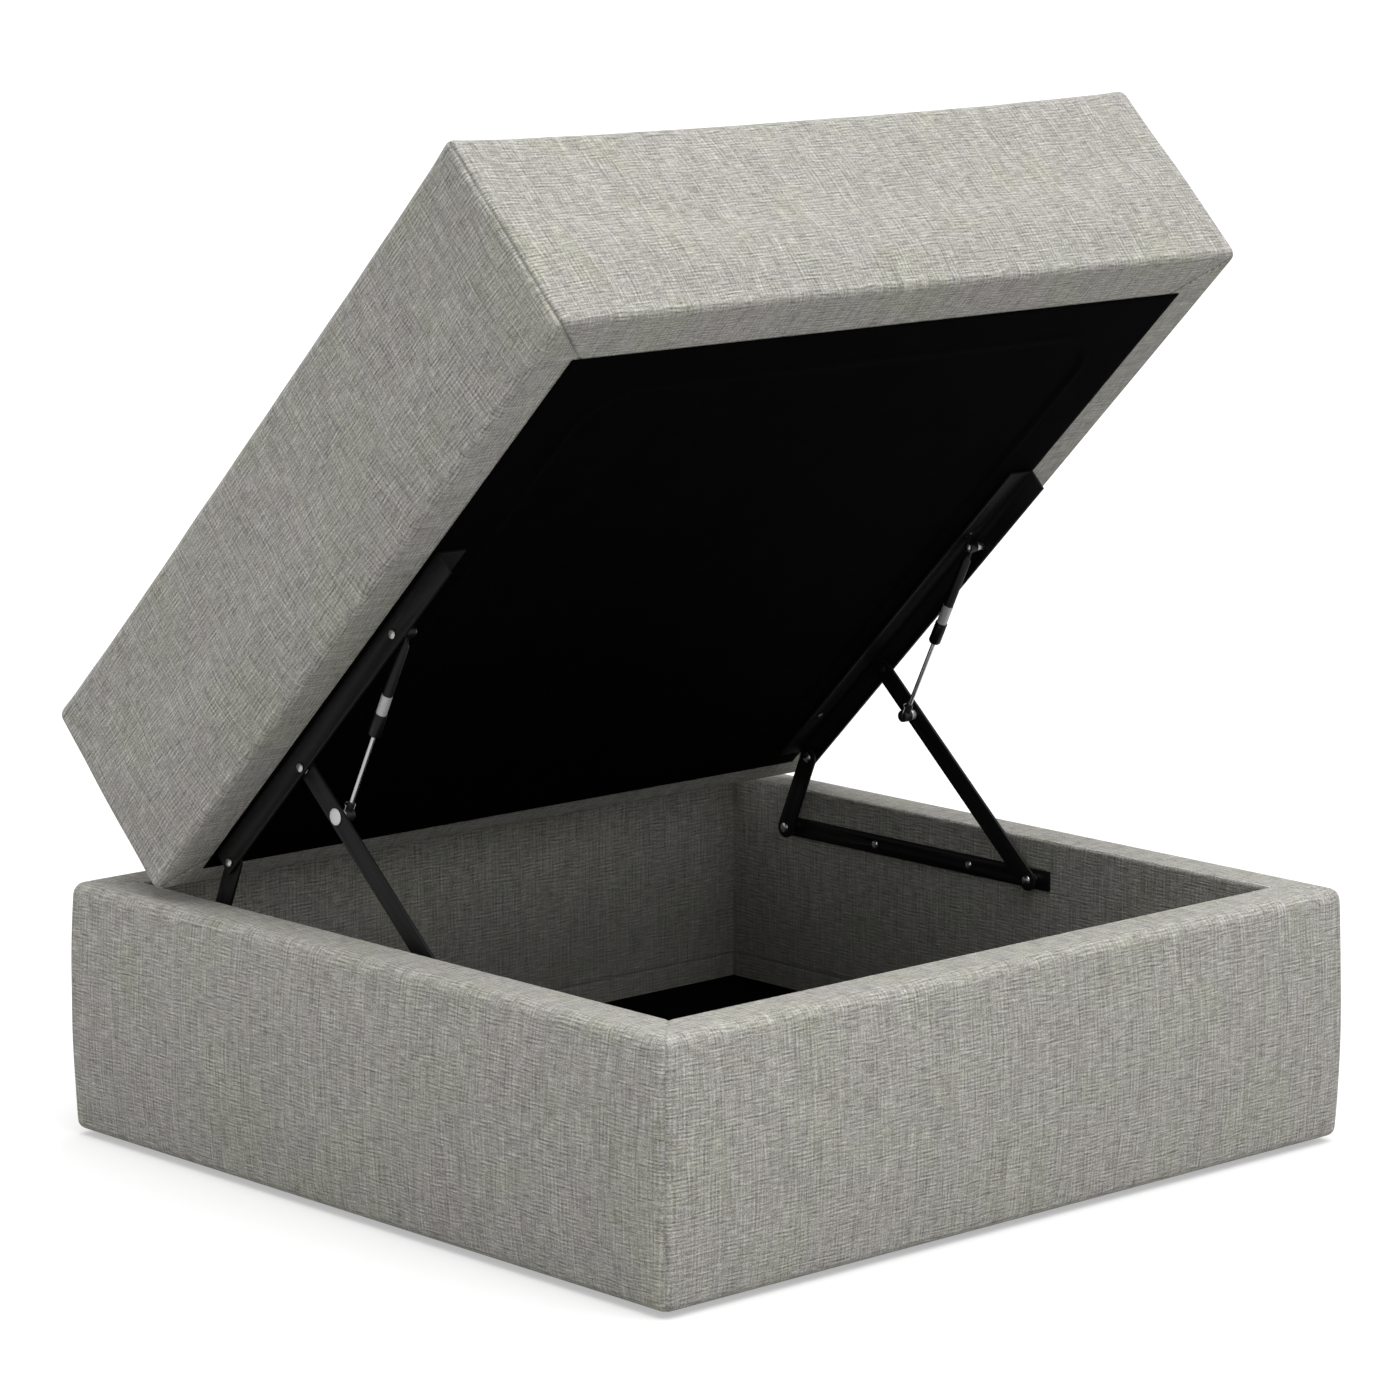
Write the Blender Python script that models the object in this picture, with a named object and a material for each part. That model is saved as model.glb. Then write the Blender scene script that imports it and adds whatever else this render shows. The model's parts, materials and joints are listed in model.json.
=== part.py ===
"""Square storage ottoman: an upholstered open box whose thick lid stands open on two steel
four-bar hinges, each helped by a small gas strut.

Metres, +Z up. The front faces -Y, the hinge side faces +Y. The origin is on the floor, in the
middle of the footprint that the ottoman covers with its lid open.
"""
import math

import bmesh
import bpy
from mathutils import Matrix, Vector

# Base box
BASE_WIDTH = 0.880
BASE_DEPTH = 0.851
BASE_HEIGHT = 0.2455
WALL = 0.051
FOOT_HEIGHT = 0.005
FOOT_RADIUS = 0.022
FOOT_INSET = 0.085
FOOT_PROFILE = ((0.0, 0.86), (0.12, 0.97), (0.3, 1.0), (1.0, 1.0))  # shares of its height and radius

# Lid, and its bottom back edge in the open and the shut pose, from the middle of the base box
LID_WIDTH = 0.864
LID_DEPTH = 0.839
LID_THICKNESS = 0.215
LID_OPEN_ANGLE = math.radians(45.0)
LID_OPEN_EDGE = (0.3062, 0.2526)
LID_SHUT_EDGE = (0.4262, BASE_HEIGHT + 0.0055)

# Cloth, foam and boards
CLOTH = 0.003
GAP = 0.0003
DUST_CLOTH = 0.0012
BOTTOM_BOARD = 0.012
BOTTOM_BOARD_INSET = 0.018
STORAGE_FLOOR_TOP = 0.029
WALL_BOARD = 0.020
LID_RIM = 0.060
LID_BOARD = 0.012
LID_RAIL_HEIGHT = 0.110
LID_DECK = 0.009
LID_FRAME_INSET = 0.014
CUTOUT_MARGIN = 0.110
CUTOUT_CORNER = 0.055
DUST_HALF_WIDTH = 0.387
DUST_FROM_BACK = (0.030, 0.785)

# Round edges
BASE_CORNER = 0.016
BASE_TOP_EDGE = 0.012
BASE_INNER_EDGE = 0.006
LID_CORNER = 0.014
LID_TOP_EDGE = 0.020
LID_BOTTOM_EDGE = 0.012
TIGHT_CORNER = 0.003
CORNER_CLEARANCE = 0.0020
CORNER_STEPS = 4

# Hinge pivots: on the lid as (distance from its back edge, height over its underside)
SHORT_ARM_ON_LID = (0.0627, -0.0185)
LONG_ARM_ON_LID = (0.2165, -0.0200)
STRUT_ON_LID = (0.414, -0.015)
STRUT_ALONG_ARM = 0.2185
BASE_PIVOT_HEIGHT = 0.2045

# Hinge plates, as (inner, outer) distances from the middle plane
BASE_RAIL_X = (0.3857, 0.3887)
LID_FLANGE_X = (0.3802, 0.3832)
ARM_X = (0.3750, 0.3780)
STRUT_X = 0.3640
EYE_HALF = 0.005

BASE_RAIL_HALF = 0.010
BASE_RAIL_FRONT = 0.020
BASE_SCREWS = (0.111, 0.246)
ARM_HALF = 0.0105
LID_FLANGE_DEPTH = 0.026
LID_RAIL_FROM = 0.0530
LID_RAIL_TO = 0.518
LID_WING_X = 0.351
LID_WING_TOP = -0.0018
LID_WING = 0.003
LID_SCREWS = (0.120, 0.420)
LID_SCREW_X = 0.3655

PIN = 0.003
PIN_HOLE = PIN + GAP
COLLAR = 0.0065
DOME = 0.0055
DOME_HEIGHT = 0.0025
DOME_PROFILE = ((0.0, 1.0), (0.5, 0.93), (1.0, 0.5))  # shares of its height and radius
FLAT_HEAD_PROFILE = ((1.0, 0.7), (0.5, 1.0), (0.0, 1.0))  # the same of a flat head, top first
FLANGE_HEAD = 0.0045
FLANGE_HEAD_HEIGHT = 0.0018
DISC = 0.008
DISC_HEIGHT = 0.0013
SCREW_SHANK = 0.0020
SCREW_HEAD = 0.0042
SCREW_HEAD_HEIGHT = 0.0024
FLUSH_SCREW = 0.0039

# Gas strut
CYLINDER = 0.0050
CYLINDER_CAP = 0.0062
CYLINDER_CAP_LENGTH = 0.024
CYLINDER_NECK = 0.0030
CYLINDER_REACH = 0.1150
ROD = 0.0022
ROD_BORE = ROD + GAP
ROD_INSERTED = 0.014
BORE_DEPTH = 0.092
EYE = 0.0056
EYE_OVERLAP = 0.001
NECK_END = 0.012
SHOULDER_END = 0.015
CAP_BEVEL_LENGTH = 0.002
CAP_BEVEL_DEPTH = 0.0012

ROUND_STEPS = 24


# ---------------------------------------------------------------- derived places

def on_lid(place, edge, angle):
    """World (y, z), from the middle of the base box, of a point given on the lid."""
    from_back, height = place
    y = edge[0] - from_back * math.cos(angle) + height * math.sin(angle)
    z = edge[1] + from_back * math.sin(angle) + height * math.cos(angle)
    return Vector((y, z))


def base_pivot(place):
    """The pivot at BASE_PIVOT_HEIGHT that is as far from a lid pivot when open as when shut."""
    opened = on_lid(place, LID_OPEN_EDGE, LID_OPEN_ANGLE)
    shut = on_lid(place, LID_SHUT_EDGE, 0.0)
    chord = shut - opened
    middle = (shut + opened) / 2
    y = middle.x - chord.y * (BASE_PIVOT_HEIGHT - middle.y) / chord.x
    return Vector((y, BASE_PIVOT_HEIGHT))


def heading(start, end):
    """Angle about X of the line from start to end, both (y, z)."""
    return math.atan2(end.y - start.y, end.x - start.x)


LID_OVERHANG = on_lid((0.0, LID_THICKNESS), LID_OPEN_EDGE, LID_OPEN_ANGLE).x - BASE_DEPTH / 2
BASE_SHIFT = -LID_OVERHANG / 2

REAR_PIVOT = base_pivot(SHORT_ARM_ON_LID)
FRONT_PIVOT = base_pivot(LONG_ARM_ON_LID)
SHORT_ARM_TOP = on_lid(SHORT_ARM_ON_LID, LID_OPEN_EDGE, LID_OPEN_ANGLE)
LONG_ARM_TOP = on_lid(LONG_ARM_ON_LID, LID_OPEN_EDGE, LID_OPEN_ANGLE)
STRUT_TOP = on_lid(STRUT_ON_LID, LID_OPEN_EDGE, LID_OPEN_ANGLE)
SHORT_ARM_ANGLE = heading(REAR_PIVOT, SHORT_ARM_TOP)
LONG_ARM_ANGLE = heading(FRONT_PIVOT, LONG_ARM_TOP)
SHORT_ARM_LENGTH = (SHORT_ARM_TOP - REAR_PIVOT).length
LONG_ARM_LENGTH = (LONG_ARM_TOP - FRONT_PIVOT).length
LONG_ARM_WAY = Vector((math.cos(LONG_ARM_ANGLE), math.sin(LONG_ARM_ANGLE)))
STRUT_FOOT = FRONT_PIVOT + STRUT_ALONG_ARM * LONG_ARM_WAY
STRUT_ANGLE = heading(STRUT_TOP, STRUT_FOOT)
STRUT_LENGTH = (STRUT_FOOT - STRUT_TOP).length


# ---------------------------------------------------------------- materials and objects

def make_material(name, colour, roughness, metallic=0.0):
    material = bpy.data.materials.new(name)
    material.use_nodes = True
    shader = material.node_tree.nodes["Principled BSDF"]
    shader.inputs["Base Color"].default_value = (*colour, 1.0)
    shader.inputs["Roughness"].default_value = roughness
    shader.inputs["Metallic"].default_value = metallic
    return material


def clear_scene():
    for old in list(bpy.data.objects):
        bpy.data.objects.remove(old)


def make_empty(name, parent=None, location=(0, 0, 0), turn=0.0):
    empty = bpy.data.objects.new(name, None)
    bpy.context.scene.collection.objects.link(empty)
    empty.parent = parent
    empty.location = location
    empty.rotation_euler = (turn, 0, 0)
    return empty


def make_object(name, bm, material, parent, location=(0, 0, 0), turn=0.0, smooth_angle=30.0):
    bmesh.ops.recalc_face_normals(bm, faces=bm.faces)
    mesh = bpy.data.meshes.new(name)
    bm.to_mesh(mesh)
    bm.free()
    mesh.shade_smooth()
    mesh.set_sharp_from_angle(angle=math.radians(smooth_angle))
    piece = bpy.data.objects.new(name, mesh)
    bpy.context.scene.collection.objects.link(piece)
    mesh.materials.append(material)
    piece.parent = parent
    piece.location = location
    piece.rotation_euler = (turn, 0, 0)
    return piece


def join_with(piece, bm):
    """Boolean union of a hidden helper, modelled in the piece's own frame, with the piece."""
    helper = make_object(piece.name + "_helper", bm, piece.data.materials[0], piece)
    helper.hide_render = True
    helper.display_type = "WIRE"
    union = piece.modifiers.new("join", "BOOLEAN")
    union.operation = "UNION"
    union.solver = "EXACT"
    union.object = helper


# ---------------------------------------------------------------- shapes

def rounded_rectangle(half_x, half_y, corner, z):
    """Points of a rectangle with round corners, anticlockwise, at height z."""
    points = []
    for quarter in range(4):
        sign_x = 1 if quarter in (0, 3) else -1
        sign_y = 1 if quarter in (0, 1) else -1
        centre = Vector((sign_x * (half_x - corner), sign_y * (half_y - corner), z))
        for step in range(CORNER_STEPS + 1):
            angle = math.pi / 2 * (quarter + step / CORNER_STEPS)
            points.append(centre + corner * Vector((math.cos(angle), math.sin(angle), 0)))
    return points


def arc_points(centre, radius, angles):
    return [(centre[0] + radius * math.cos(a), centre[1] + radius * math.sin(a)) for a in angles]


def quarter_arc(centre, radius, start):
    """Profile points of a quarter circle, clockwise from the angle start, in degrees."""
    steps = range(CORNER_STEPS + 1)
    return arc_points(centre, radius, [math.radians(start - 90.0 * step / CORNER_STEPS) for step in steps])


def loft(loops, ring):
    """Skins loops of equal length. A ring joins the last loop to the first, else both are capped."""
    bm = bmesh.new()
    rows = [[bm.verts.new(point) for point in loop] for loop in loops]
    pairs = list(zip(rows, rows[1:]))
    if ring:
        pairs.append((rows[-1], rows[0]))
    else:
        bm.faces.new(rows[0])
        bm.faces.new(rows[-1])
    for lower, upper in pairs:
        for index, corner in enumerate(lower):
            after = (index + 1) % len(lower)
            bm.faces.new((corner, lower[after], upper[after], upper[index]))
    return bm


def wrap_profile(profile, half_x, half_y, corner, ring):
    """Carries a profile of (inset, height) points round a rounded rectangle."""
    loops = []
    for inset, height in profile:
        round_corner = max(corner - inset, TIGHT_CORNER)
        loops.append(rounded_rectangle(half_x - inset, half_y - inset, round_corner, height))
    return loft(loops, ring)


def box(low, high):
    bm = bmesh.new()
    bmesh.ops.create_cube(bm, size=1.0)
    low, high = Vector(low), Vector(high)
    bmesh.ops.scale(bm, vec=high - low, verts=bm.verts)
    bmesh.ops.translate(bm, vec=(low + high) / 2, verts=bm.verts)
    return bm


def circle(centre, radius):
    """Points of a circle in a plane."""
    return arc_points(centre, radius, [2 * math.pi * step / ROUND_STEPS for step in range(ROUND_STEPS)])


def round_end(centre, radius, start):
    """Points of a half circle, anticlockwise from the angle start."""
    steps = ROUND_STEPS // 2
    return arc_points(centre, radius, [start + math.pi * step / steps for step in range(steps + 1)])


def plate(outlines, x_range):
    """A flat plate across X: the first outline in (y, z) is its edge, the others are holes."""
    bm = bmesh.new()
    for outline in outlines:
        verts = [bm.verts.new((x_range[0], y, z)) for y, z in outline]
        for index, vert in enumerate(verts):
            bm.edges.new((vert, verts[(index + 1) % len(verts)]))
    bmesh.ops.triangle_fill(bm, use_beauty=True, edges=bm.edges)
    grown = bmesh.ops.extrude_face_region(bm, geom=bm.faces[:])
    moved = [item for item in grown["geom"] if isinstance(item, bmesh.types.BMVert)]
    bmesh.ops.translate(bm, vec=(x_range[1] - x_range[0], 0, 0), verts=moved)
    return bm


def turned(profile):
    """A solid of revolution about X from (x, radius) points; its two ends are capped."""
    loops = []
    for x, radius in profile:
        loops.append([Vector((x, y, z)) for y, z in circle((0, 0), radius)])
    return loft(loops, ring=False)


def mirrored(x_range, side):
    """An (inner, outer) range from the middle plane, put on the left (-1) or right (+1)."""
    return tuple(sorted(side * x for x in x_range))


def flipped(profile, side):
    return [(side * x, radius) for x, radius in profile]


def dome_end(x, radius, height):
    """Profile points of a domed head that starts at x and ends nearer the middle plane."""
    return [(x - rise * height, width * radius) for rise, width in DOME_PROFILE]


def flat_head(x, radius, height):
    """Profile points of a flat head with a bevelled rim, from its top face to its seat at x."""
    return [(x + rise * height, width * radius) for rise, width in FLAT_HEAD_PROFILE]


# ---------------------------------------------------------------- base box

def build_base(base, looks):
    half_x, half_y = BASE_WIDTH / 2, BASE_DEPTH / 2
    inner_top = BASE_INNER_EDGE
    outer = [(0.0, 0.0)]
    outer += quarter_arc((BASE_TOP_EDGE, BASE_HEIGHT - BASE_TOP_EDGE), BASE_TOP_EDGE, 180)
    outer += quarter_arc((WALL - inner_top, BASE_HEIGHT - inner_top), inner_top, 90)
    skirt_end = BOTTOM_BOARD + 2 * GAP + DUST_CLOTH + GAP
    inner_radius = BASE_TOP_EDGE - CLOTH
    lining_edge = inner_top - CLOTH
    inside = [(WALL, skirt_end), (WALL - CLOTH, skirt_end)]
    lining = quarter_arc((WALL - inner_top, BASE_HEIGHT - inner_top), lining_edge, 90)
    inside += lining[::-1]
    shell = quarter_arc((BASE_TOP_EDGE, BASE_HEIGHT - BASE_TOP_EDGE), inner_radius, 180)
    inside += shell[::-1]
    inside.append((CLOTH, 0.0))
    cover = wrap_profile(outer + inside, half_x, half_y, BASE_CORNER, ring=True)
    make_object("base_cover", cover, looks["linen"], base)

    foam_out = CLOTH + GAP
    board_in = WALL - CLOTH - GAP
    board_out = board_in - WALL_BOARD
    top = BASE_HEIGHT - CLOTH - GAP
    foam_edge = inner_radius - GAP
    foam = [(board_out - GAP, skirt_end), (foam_out, skirt_end)]
    foam += quarter_arc((foam_out + foam_edge, top - foam_edge), foam_edge, 180)
    foam.append((board_out - GAP, top))
    padding = wrap_profile(foam, half_x, half_y, BASE_CORNER, ring=True)
    make_object("base_padding", padding, looks["foam"], base)

    side_out, side_in = half_x - board_out, half_x - board_in
    end_out, end_in = half_y - board_out, half_y - board_in
    end_length = side_out - CORNER_CLEARANCE
    board_top = BASE_HEIGHT - inner_top
    for name, side in (("left", -1), ("right", 1)):
        xs = sorted((side * side_in, side * side_out))
        board = box((xs[0], -end_in + GAP, skirt_end), (xs[1], end_in - GAP, board_top))
        make_object("base_" + name + "_board", board, looks["wood"], base)
    for name, side in (("front", -1), ("back", 1)):
        ys = sorted((side * end_in, side * end_out))
        board = box((-end_length, ys[0], skirt_end), (end_length, ys[1], board_top))
        make_object("base_" + name + "_board", board, looks["wood"], base)

    under = DUST_CLOTH + GAP
    bottom_x, bottom_y = half_x - BOTTOM_BOARD_INSET, half_y - BOTTOM_BOARD_INSET
    bottom = box((-bottom_x, -bottom_y, under), (bottom_x, bottom_y, under + BOTTOM_BOARD))
    make_object("base_bottom_board", bottom, looks["wood"], base)
    floor_x, floor_y = half_x - WALL - CORNER_CLEARANCE, half_y - WALL - CORNER_CLEARANCE
    floor = box((-floor_x, -floor_y, under + BOTTOM_BOARD + GAP), (floor_x, floor_y, STORAGE_FLOOR_TOP))
    make_object("storage_floor", floor, looks["black_cloth"], base)
    cloth_x, cloth_y = half_x - BASE_CORNER, half_y - BASE_CORNER
    dust = box((-cloth_x, -cloth_y, 0.0), (cloth_x, cloth_y, DUST_CLOTH))
    make_object("base_dust_cloth", dust, looks["black_cloth"], base)

    for name_y, side_y in (("front", -1), ("back", 1)):
        for name_x, side_x in (("left", -1), ("right", 1)):
            place = (side_x * (half_x - FOOT_INSET), side_y * (half_y - FOOT_INSET), -FOOT_HEIGHT)
            make_object("foot_" + name_y + "_" + name_x, foot_shape(), looks["plastic"], base, place)


def foot_shape():
    """A low round glide with a bevelled tread."""
    loops = []
    for share, width in FOOT_PROFILE:
        height = share * (FOOT_HEIGHT - GAP)
        rim = circle((0, 0), FOOT_RADIUS * width)
        loops.append([Vector((x, y, height)) for x, y in rim])
    return loft(loops, ring=False)


# ---------------------------------------------------------------- lid

def build_lid(lid, looks):
    """The lid's own frame: X across, Y towards its back, Z over its underside."""
    half_x, half_y = LID_WIDTH / 2, LID_DEPTH / 2
    centre = make_empty("lid_centre", lid, (0, SHORT_ARM_ON_LID[0] - half_y, -SHORT_ARM_ON_LID[1]))

    inner_bottom = LID_BOTTOM_EDGE - CLOTH
    inner_top = LID_TOP_EDGE - CLOTH
    low = (LID_BOTTOM_EDGE, LID_BOTTOM_EDGE)
    high = (LID_TOP_EDGE, LID_THICKNESS - LID_TOP_EDGE)
    outer = [(LID_RIM, 0.0)] + quarter_arc(low, LID_BOTTOM_EDGE, 270) + quarter_arc(high, LID_TOP_EDGE, 180)
    inside = [(LID_RIM, CLOTH)] + quarter_arc(low, inner_bottom, 270) + quarter_arc(high, inner_top, 180)
    cover = wrap_profile(inside[::-1] + outer, half_x, half_y, LID_CORNER, ring=False)
    make_object("lid_cover", cover, looks["linen"], centre)

    inset = LID_FRAME_INSET
    frame_x, frame_y = half_x - inset, half_y - inset
    bottom = CLOTH + GAP
    make_object("lid_bottom_board", cutout_board(frame_x, frame_y, bottom), looks["wood"], centre)

    rail_low = bottom + LID_BOARD + GAP
    rail_high = rail_low + LID_RAIL_HEIGHT
    for name, side in (("left", -1), ("right", 1)):
        xs = sorted((side * frame_x, side * (frame_x - WALL_BOARD)))
        board = box((xs[0], -frame_y, rail_low), (xs[1], frame_y, rail_high))
        make_object("lid_frame_" + name, board, looks["wood"], centre)
    between = frame_x - WALL_BOARD - GAP
    for name, side in (("front", -1), ("back", 1)):
        ys = sorted((side * frame_y, side * (frame_y - WALL_BOARD)))
        board = box((-between, ys[0], rail_low), (between, ys[1], rail_high))
        make_object("lid_frame_" + name, board, looks["wood"], centre)

    deck_low = rail_high + GAP
    deck = box((-frame_x, -frame_y, deck_low), (frame_x, frame_y, deck_low + LID_DECK))
    make_object("lid_deck", deck, looks["wood"], centre)

    foam_edge = inner_top - GAP
    foam_top = LID_THICKNESS - CLOTH - GAP
    foam = [(bottom, deck_low + LID_DECK + GAP)]
    foam += quarter_arc((bottom + foam_edge, foam_top - foam_edge), foam_edge, 180)
    foam_pad = wrap_profile(foam, half_x, half_y, LID_CORNER, ring=False)
    make_object("lid_foam", foam_pad, looks["foam"], centre)

    back, front = half_y - DUST_FROM_BACK[0], half_y - DUST_FROM_BACK[1]
    dust = box((-DUST_HALF_WIDTH, front, -GAP - DUST_CLOTH), (DUST_HALF_WIDTH, back, -GAP))
    make_object("lid_dust_cloth", dust, looks["black_cloth"], centre)


def cutout_board(half_x, half_y, low):
    """The lid's bottom board, with a large round-cornered opening."""
    margin = CUTOUT_MARGIN - LID_FRAME_INSET
    opening_x, opening_y = half_x - margin, half_y - margin
    high = low + LID_BOARD
    loops = [
        rounded_rectangle(half_x, half_y, TIGHT_CORNER, low),
        rounded_rectangle(half_x, half_y, TIGHT_CORNER, high),
        rounded_rectangle(opening_x, opening_y, CUTOUT_CORNER, high),
        rounded_rectangle(opening_x, opening_y, CUTOUT_CORNER, low),
    ]
    return loft(loops, ring=True)


# ---------------------------------------------------------------- hinge, one side

def arm_outline(length):
    """A flat bar with two round ends, from the origin along +Y, with its two pin holes."""
    edge = round_end((0, 0), ARM_HALF, math.pi / 2) + round_end((length, 0), ARM_HALF, -math.pi / 2)
    return [edge, circle((0, 0), PIN_HOLE), circle((length, 0), PIN_HOLE)]


def build_base_rail(base, side, name, looks):
    front = FRONT_PIVOT.x - BASE_RAIL_FRONT
    low, high = BASE_PIVOT_HEIGHT - BASE_RAIL_HALF, BASE_PIVOT_HEIGHT + BASE_RAIL_HALF
    edge = [(front, high), (front, low)]
    edge += round_end(REAR_PIVOT, BASE_RAIL_HALF, -math.pi / 2)
    holes = [circle(FRONT_PIVOT, PIN_HOLE), circle(REAR_PIVOT, PIN_HOLE)]
    screw_ys = [front + distance for distance in BASE_SCREWS]
    holes += [circle((y, BASE_PIVOT_HEIGHT), SCREW_SHANK + GAP) for y in screw_ys]
    rail = plate([edge] + holes, mirrored(BASE_RAIL_X, side))
    make_object(name + "_base_rail", rail, looks["black_steel"], base)

    face, back = BASE_RAIL_X
    for label, y in zip(("front", "rear"), screw_ys):
        profile = [(back, SCREW_SHANK), (face - GAP, SCREW_SHANK)]
        profile += dome_end(face - GAP, SCREW_HEAD, SCREW_HEAD_HEIGHT)
        screw = turned(flipped(profile, side))
        place = (0, y, BASE_PIVOT_HEIGHT)
        make_object(name + "_base_screw_" + label, screw, looks["zinc"], base, place)

    for label, pivot in (("front", FRONT_PIVOT), ("rear", REAR_PIVOT)):
        profile = [(back, PIN), (face - GAP, PIN), (face - GAP, COLLAR), (ARM_X[1] + GAP, COLLAR)]
        profile += [(ARM_X[1] + GAP, PIN), (ARM_X[0] - GAP, PIN)]
        profile += dome_end(ARM_X[0] - GAP, DOME, DOME_HEIGHT)
        rivet = turned(flipped(profile, side))
        make_object(name + "_base_rivet_" + label, rivet, looks["black_steel"], base, (0, *pivot))


def build_short_arm(base, side, name, looks):
    """Turns on the rear base pivot, and carries the back of the lid."""
    pivot = make_empty(name + "_short_arm_pivot", base, (0, *REAR_PIVOT), SHORT_ARM_ANGLE)
    arm = plate(arm_outline(SHORT_ARM_LENGTH), mirrored(ARM_X, side))
    make_object(name + "_short_arm", arm, looks["black_steel"], pivot)


def build_long_arm(base, side, name, looks):
    """Turns on the front base pivot. Its own half of the lid rivet and the strut stud ride on it."""
    pivot = make_empty(name + "_long_arm_pivot", base, (0, *FRONT_PIVOT), LONG_ARM_ANGLE)
    outlines = arm_outline(LONG_ARM_LENGTH) + [circle((STRUT_ALONG_ARM, 0), PIN_HOLE)]
    arm = plate(outlines, mirrored(ARM_X, side))
    make_object(name + "_long_arm", arm, looks["black_steel"], pivot)

    inner, outer = ARM_X
    tip = [(outer, PIN), (inner - GAP, PIN)] + dome_end(inner - GAP, DOME, DOME_HEIGHT)
    place = (0, LONG_ARM_LENGTH, 0)
    make_object(name + "_long_arm_rivet", turned(flipped(tip, side)), looks["black_steel"], pivot, place)

    stud = flat_head(outer + GAP, DISC, DISC_HEIGHT)
    stud += [(outer + GAP, PIN), (inner - GAP, PIN), (inner - GAP, DOME)]
    stud += [(STRUT_X + EYE_HALF + GAP, DOME)]
    place = (0, STRUT_ALONG_ARM, 0)
    make_object(name + "_strut_lower_stud", turned(flipped(stud, side)), looks["zinc"], pivot, place)


def build_lid_rail(lid, side, name, looks):
    """A steel angle under the lid: one leg hangs beside the arms, the other lies flat under the lid."""
    def place(spot):
        return (0, SHORT_ARM_ON_LID[0] - spot[0], spot[1] - SHORT_ARM_ON_LID[1])

    inner, outer = LID_FLANGE_X
    back, front = -LID_RAIL_FROM, -LID_RAIL_TO
    edge = [(back, LID_WING_TOP), (front, LID_WING_TOP)]
    edge += [(front, -LID_FLANGE_DEPTH), (back, -LID_FLANGE_DEPTH)]
    spots = (SHORT_ARM_ON_LID, LONG_ARM_ON_LID, STRUT_ON_LID)
    holes = [circle((-from_back, height), PIN_HOLE) for from_back, height in spots]
    rail = make_object(name + "_lid_rail", plate([edge] + holes, mirrored(LID_FLANGE_X, side)),
                       looks["black_steel"], lid, place((0, 0)))
    join_with(rail, wing_shape(side, back, front))

    head = outer + GAP
    pins = ("_lid_rivet_rear", "_lid_rivet_middle", "_strut_upper_stud")
    for label, spot in zip(pins, spots):
        profile = flat_head(head, FLANGE_HEAD, FLANGE_HEAD_HEIGHT) + [(head, PIN), (inner - GAP, PIN)]
        profile += lid_pin_end(label)
        make_object(name + label, turned(flipped(profile, side)), looks["zinc"], lid, place(spot))

    for label, from_back in zip(("rear", "front"), LID_SCREWS):
        screw_place = place((from_back, 0))
        screw = make_object(name + "_lid_screw_" + label, flush_screw(), looks["zinc"], lid, screw_place)
        screw.location.x = side * LID_SCREW_X


def lid_pin_end(label):
    """The part of a lid pin that stands inside its rail."""
    inner = LID_FLANGE_X[0]
    arm_inner, arm_outer = ARM_X
    if label == "_lid_rivet_rear":
        profile = [(inner - GAP, COLLAR), (arm_outer + GAP, COLLAR), (arm_outer + GAP, PIN)]
        profile += [(arm_inner - GAP, PIN)]
        return profile + dome_end(arm_inner - GAP, DOME, DOME_HEIGHT)
    if label == "_lid_rivet_middle":
        return [(inner - GAP, COLLAR), (arm_outer + 2 * GAP, COLLAR)]
    eye_outer, eye_inner = STRUT_X + EYE_HALF, STRUT_X - EYE_HALF
    profile = [(inner - GAP, FLANGE_HEAD), (eye_outer + GAP, FLANGE_HEAD), (eye_outer + GAP, PIN)]
    profile += [(eye_inner - GAP, PIN)]
    return profile + flat_head(eye_inner - GAP, FLANGE_HEAD, -FLANGE_HEAD_HEIGHT)[::-1]


def wing_shape(side, back, front):
    """The rail's flat leg, towards the middle of the lid, with its two screw holes."""
    outer = LID_FLANGE_X[1]
    edge = [(LID_WING_X, back), (LID_WING_X, front), (outer, front), (outer, back)]
    outlines = [edge]
    for from_back in LID_SCREWS:
        outlines.append(circle((LID_SCREW_X, -from_back), FLUSH_SCREW + GAP))
    flat = plate(outlines, (0.0, LID_WING))
    to_lid = Matrix(((0, side, 0, 0), (0, 0, 1, 0), (-1, 0, 0, LID_WING_TOP), (0, 0, 0, 1)))
    bmesh.ops.transform(flat, matrix=to_lid, verts=flat.verts)
    return flat


def flush_screw():
    """A countersunk head that sits flush in the rail's flat leg."""
    low, high = LID_WING_TOP - LID_WING + GAP / 2, LID_WING_TOP
    loops = []
    for height, radius in ((low, FLUSH_SCREW), (high, SCREW_SHANK)):
        loops.append([Vector((x, y, height)) for x, y in circle((0, 0), radius)])
    return loft(loops, ring=False)


# ---------------------------------------------------------------- gas strut, one side

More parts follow.
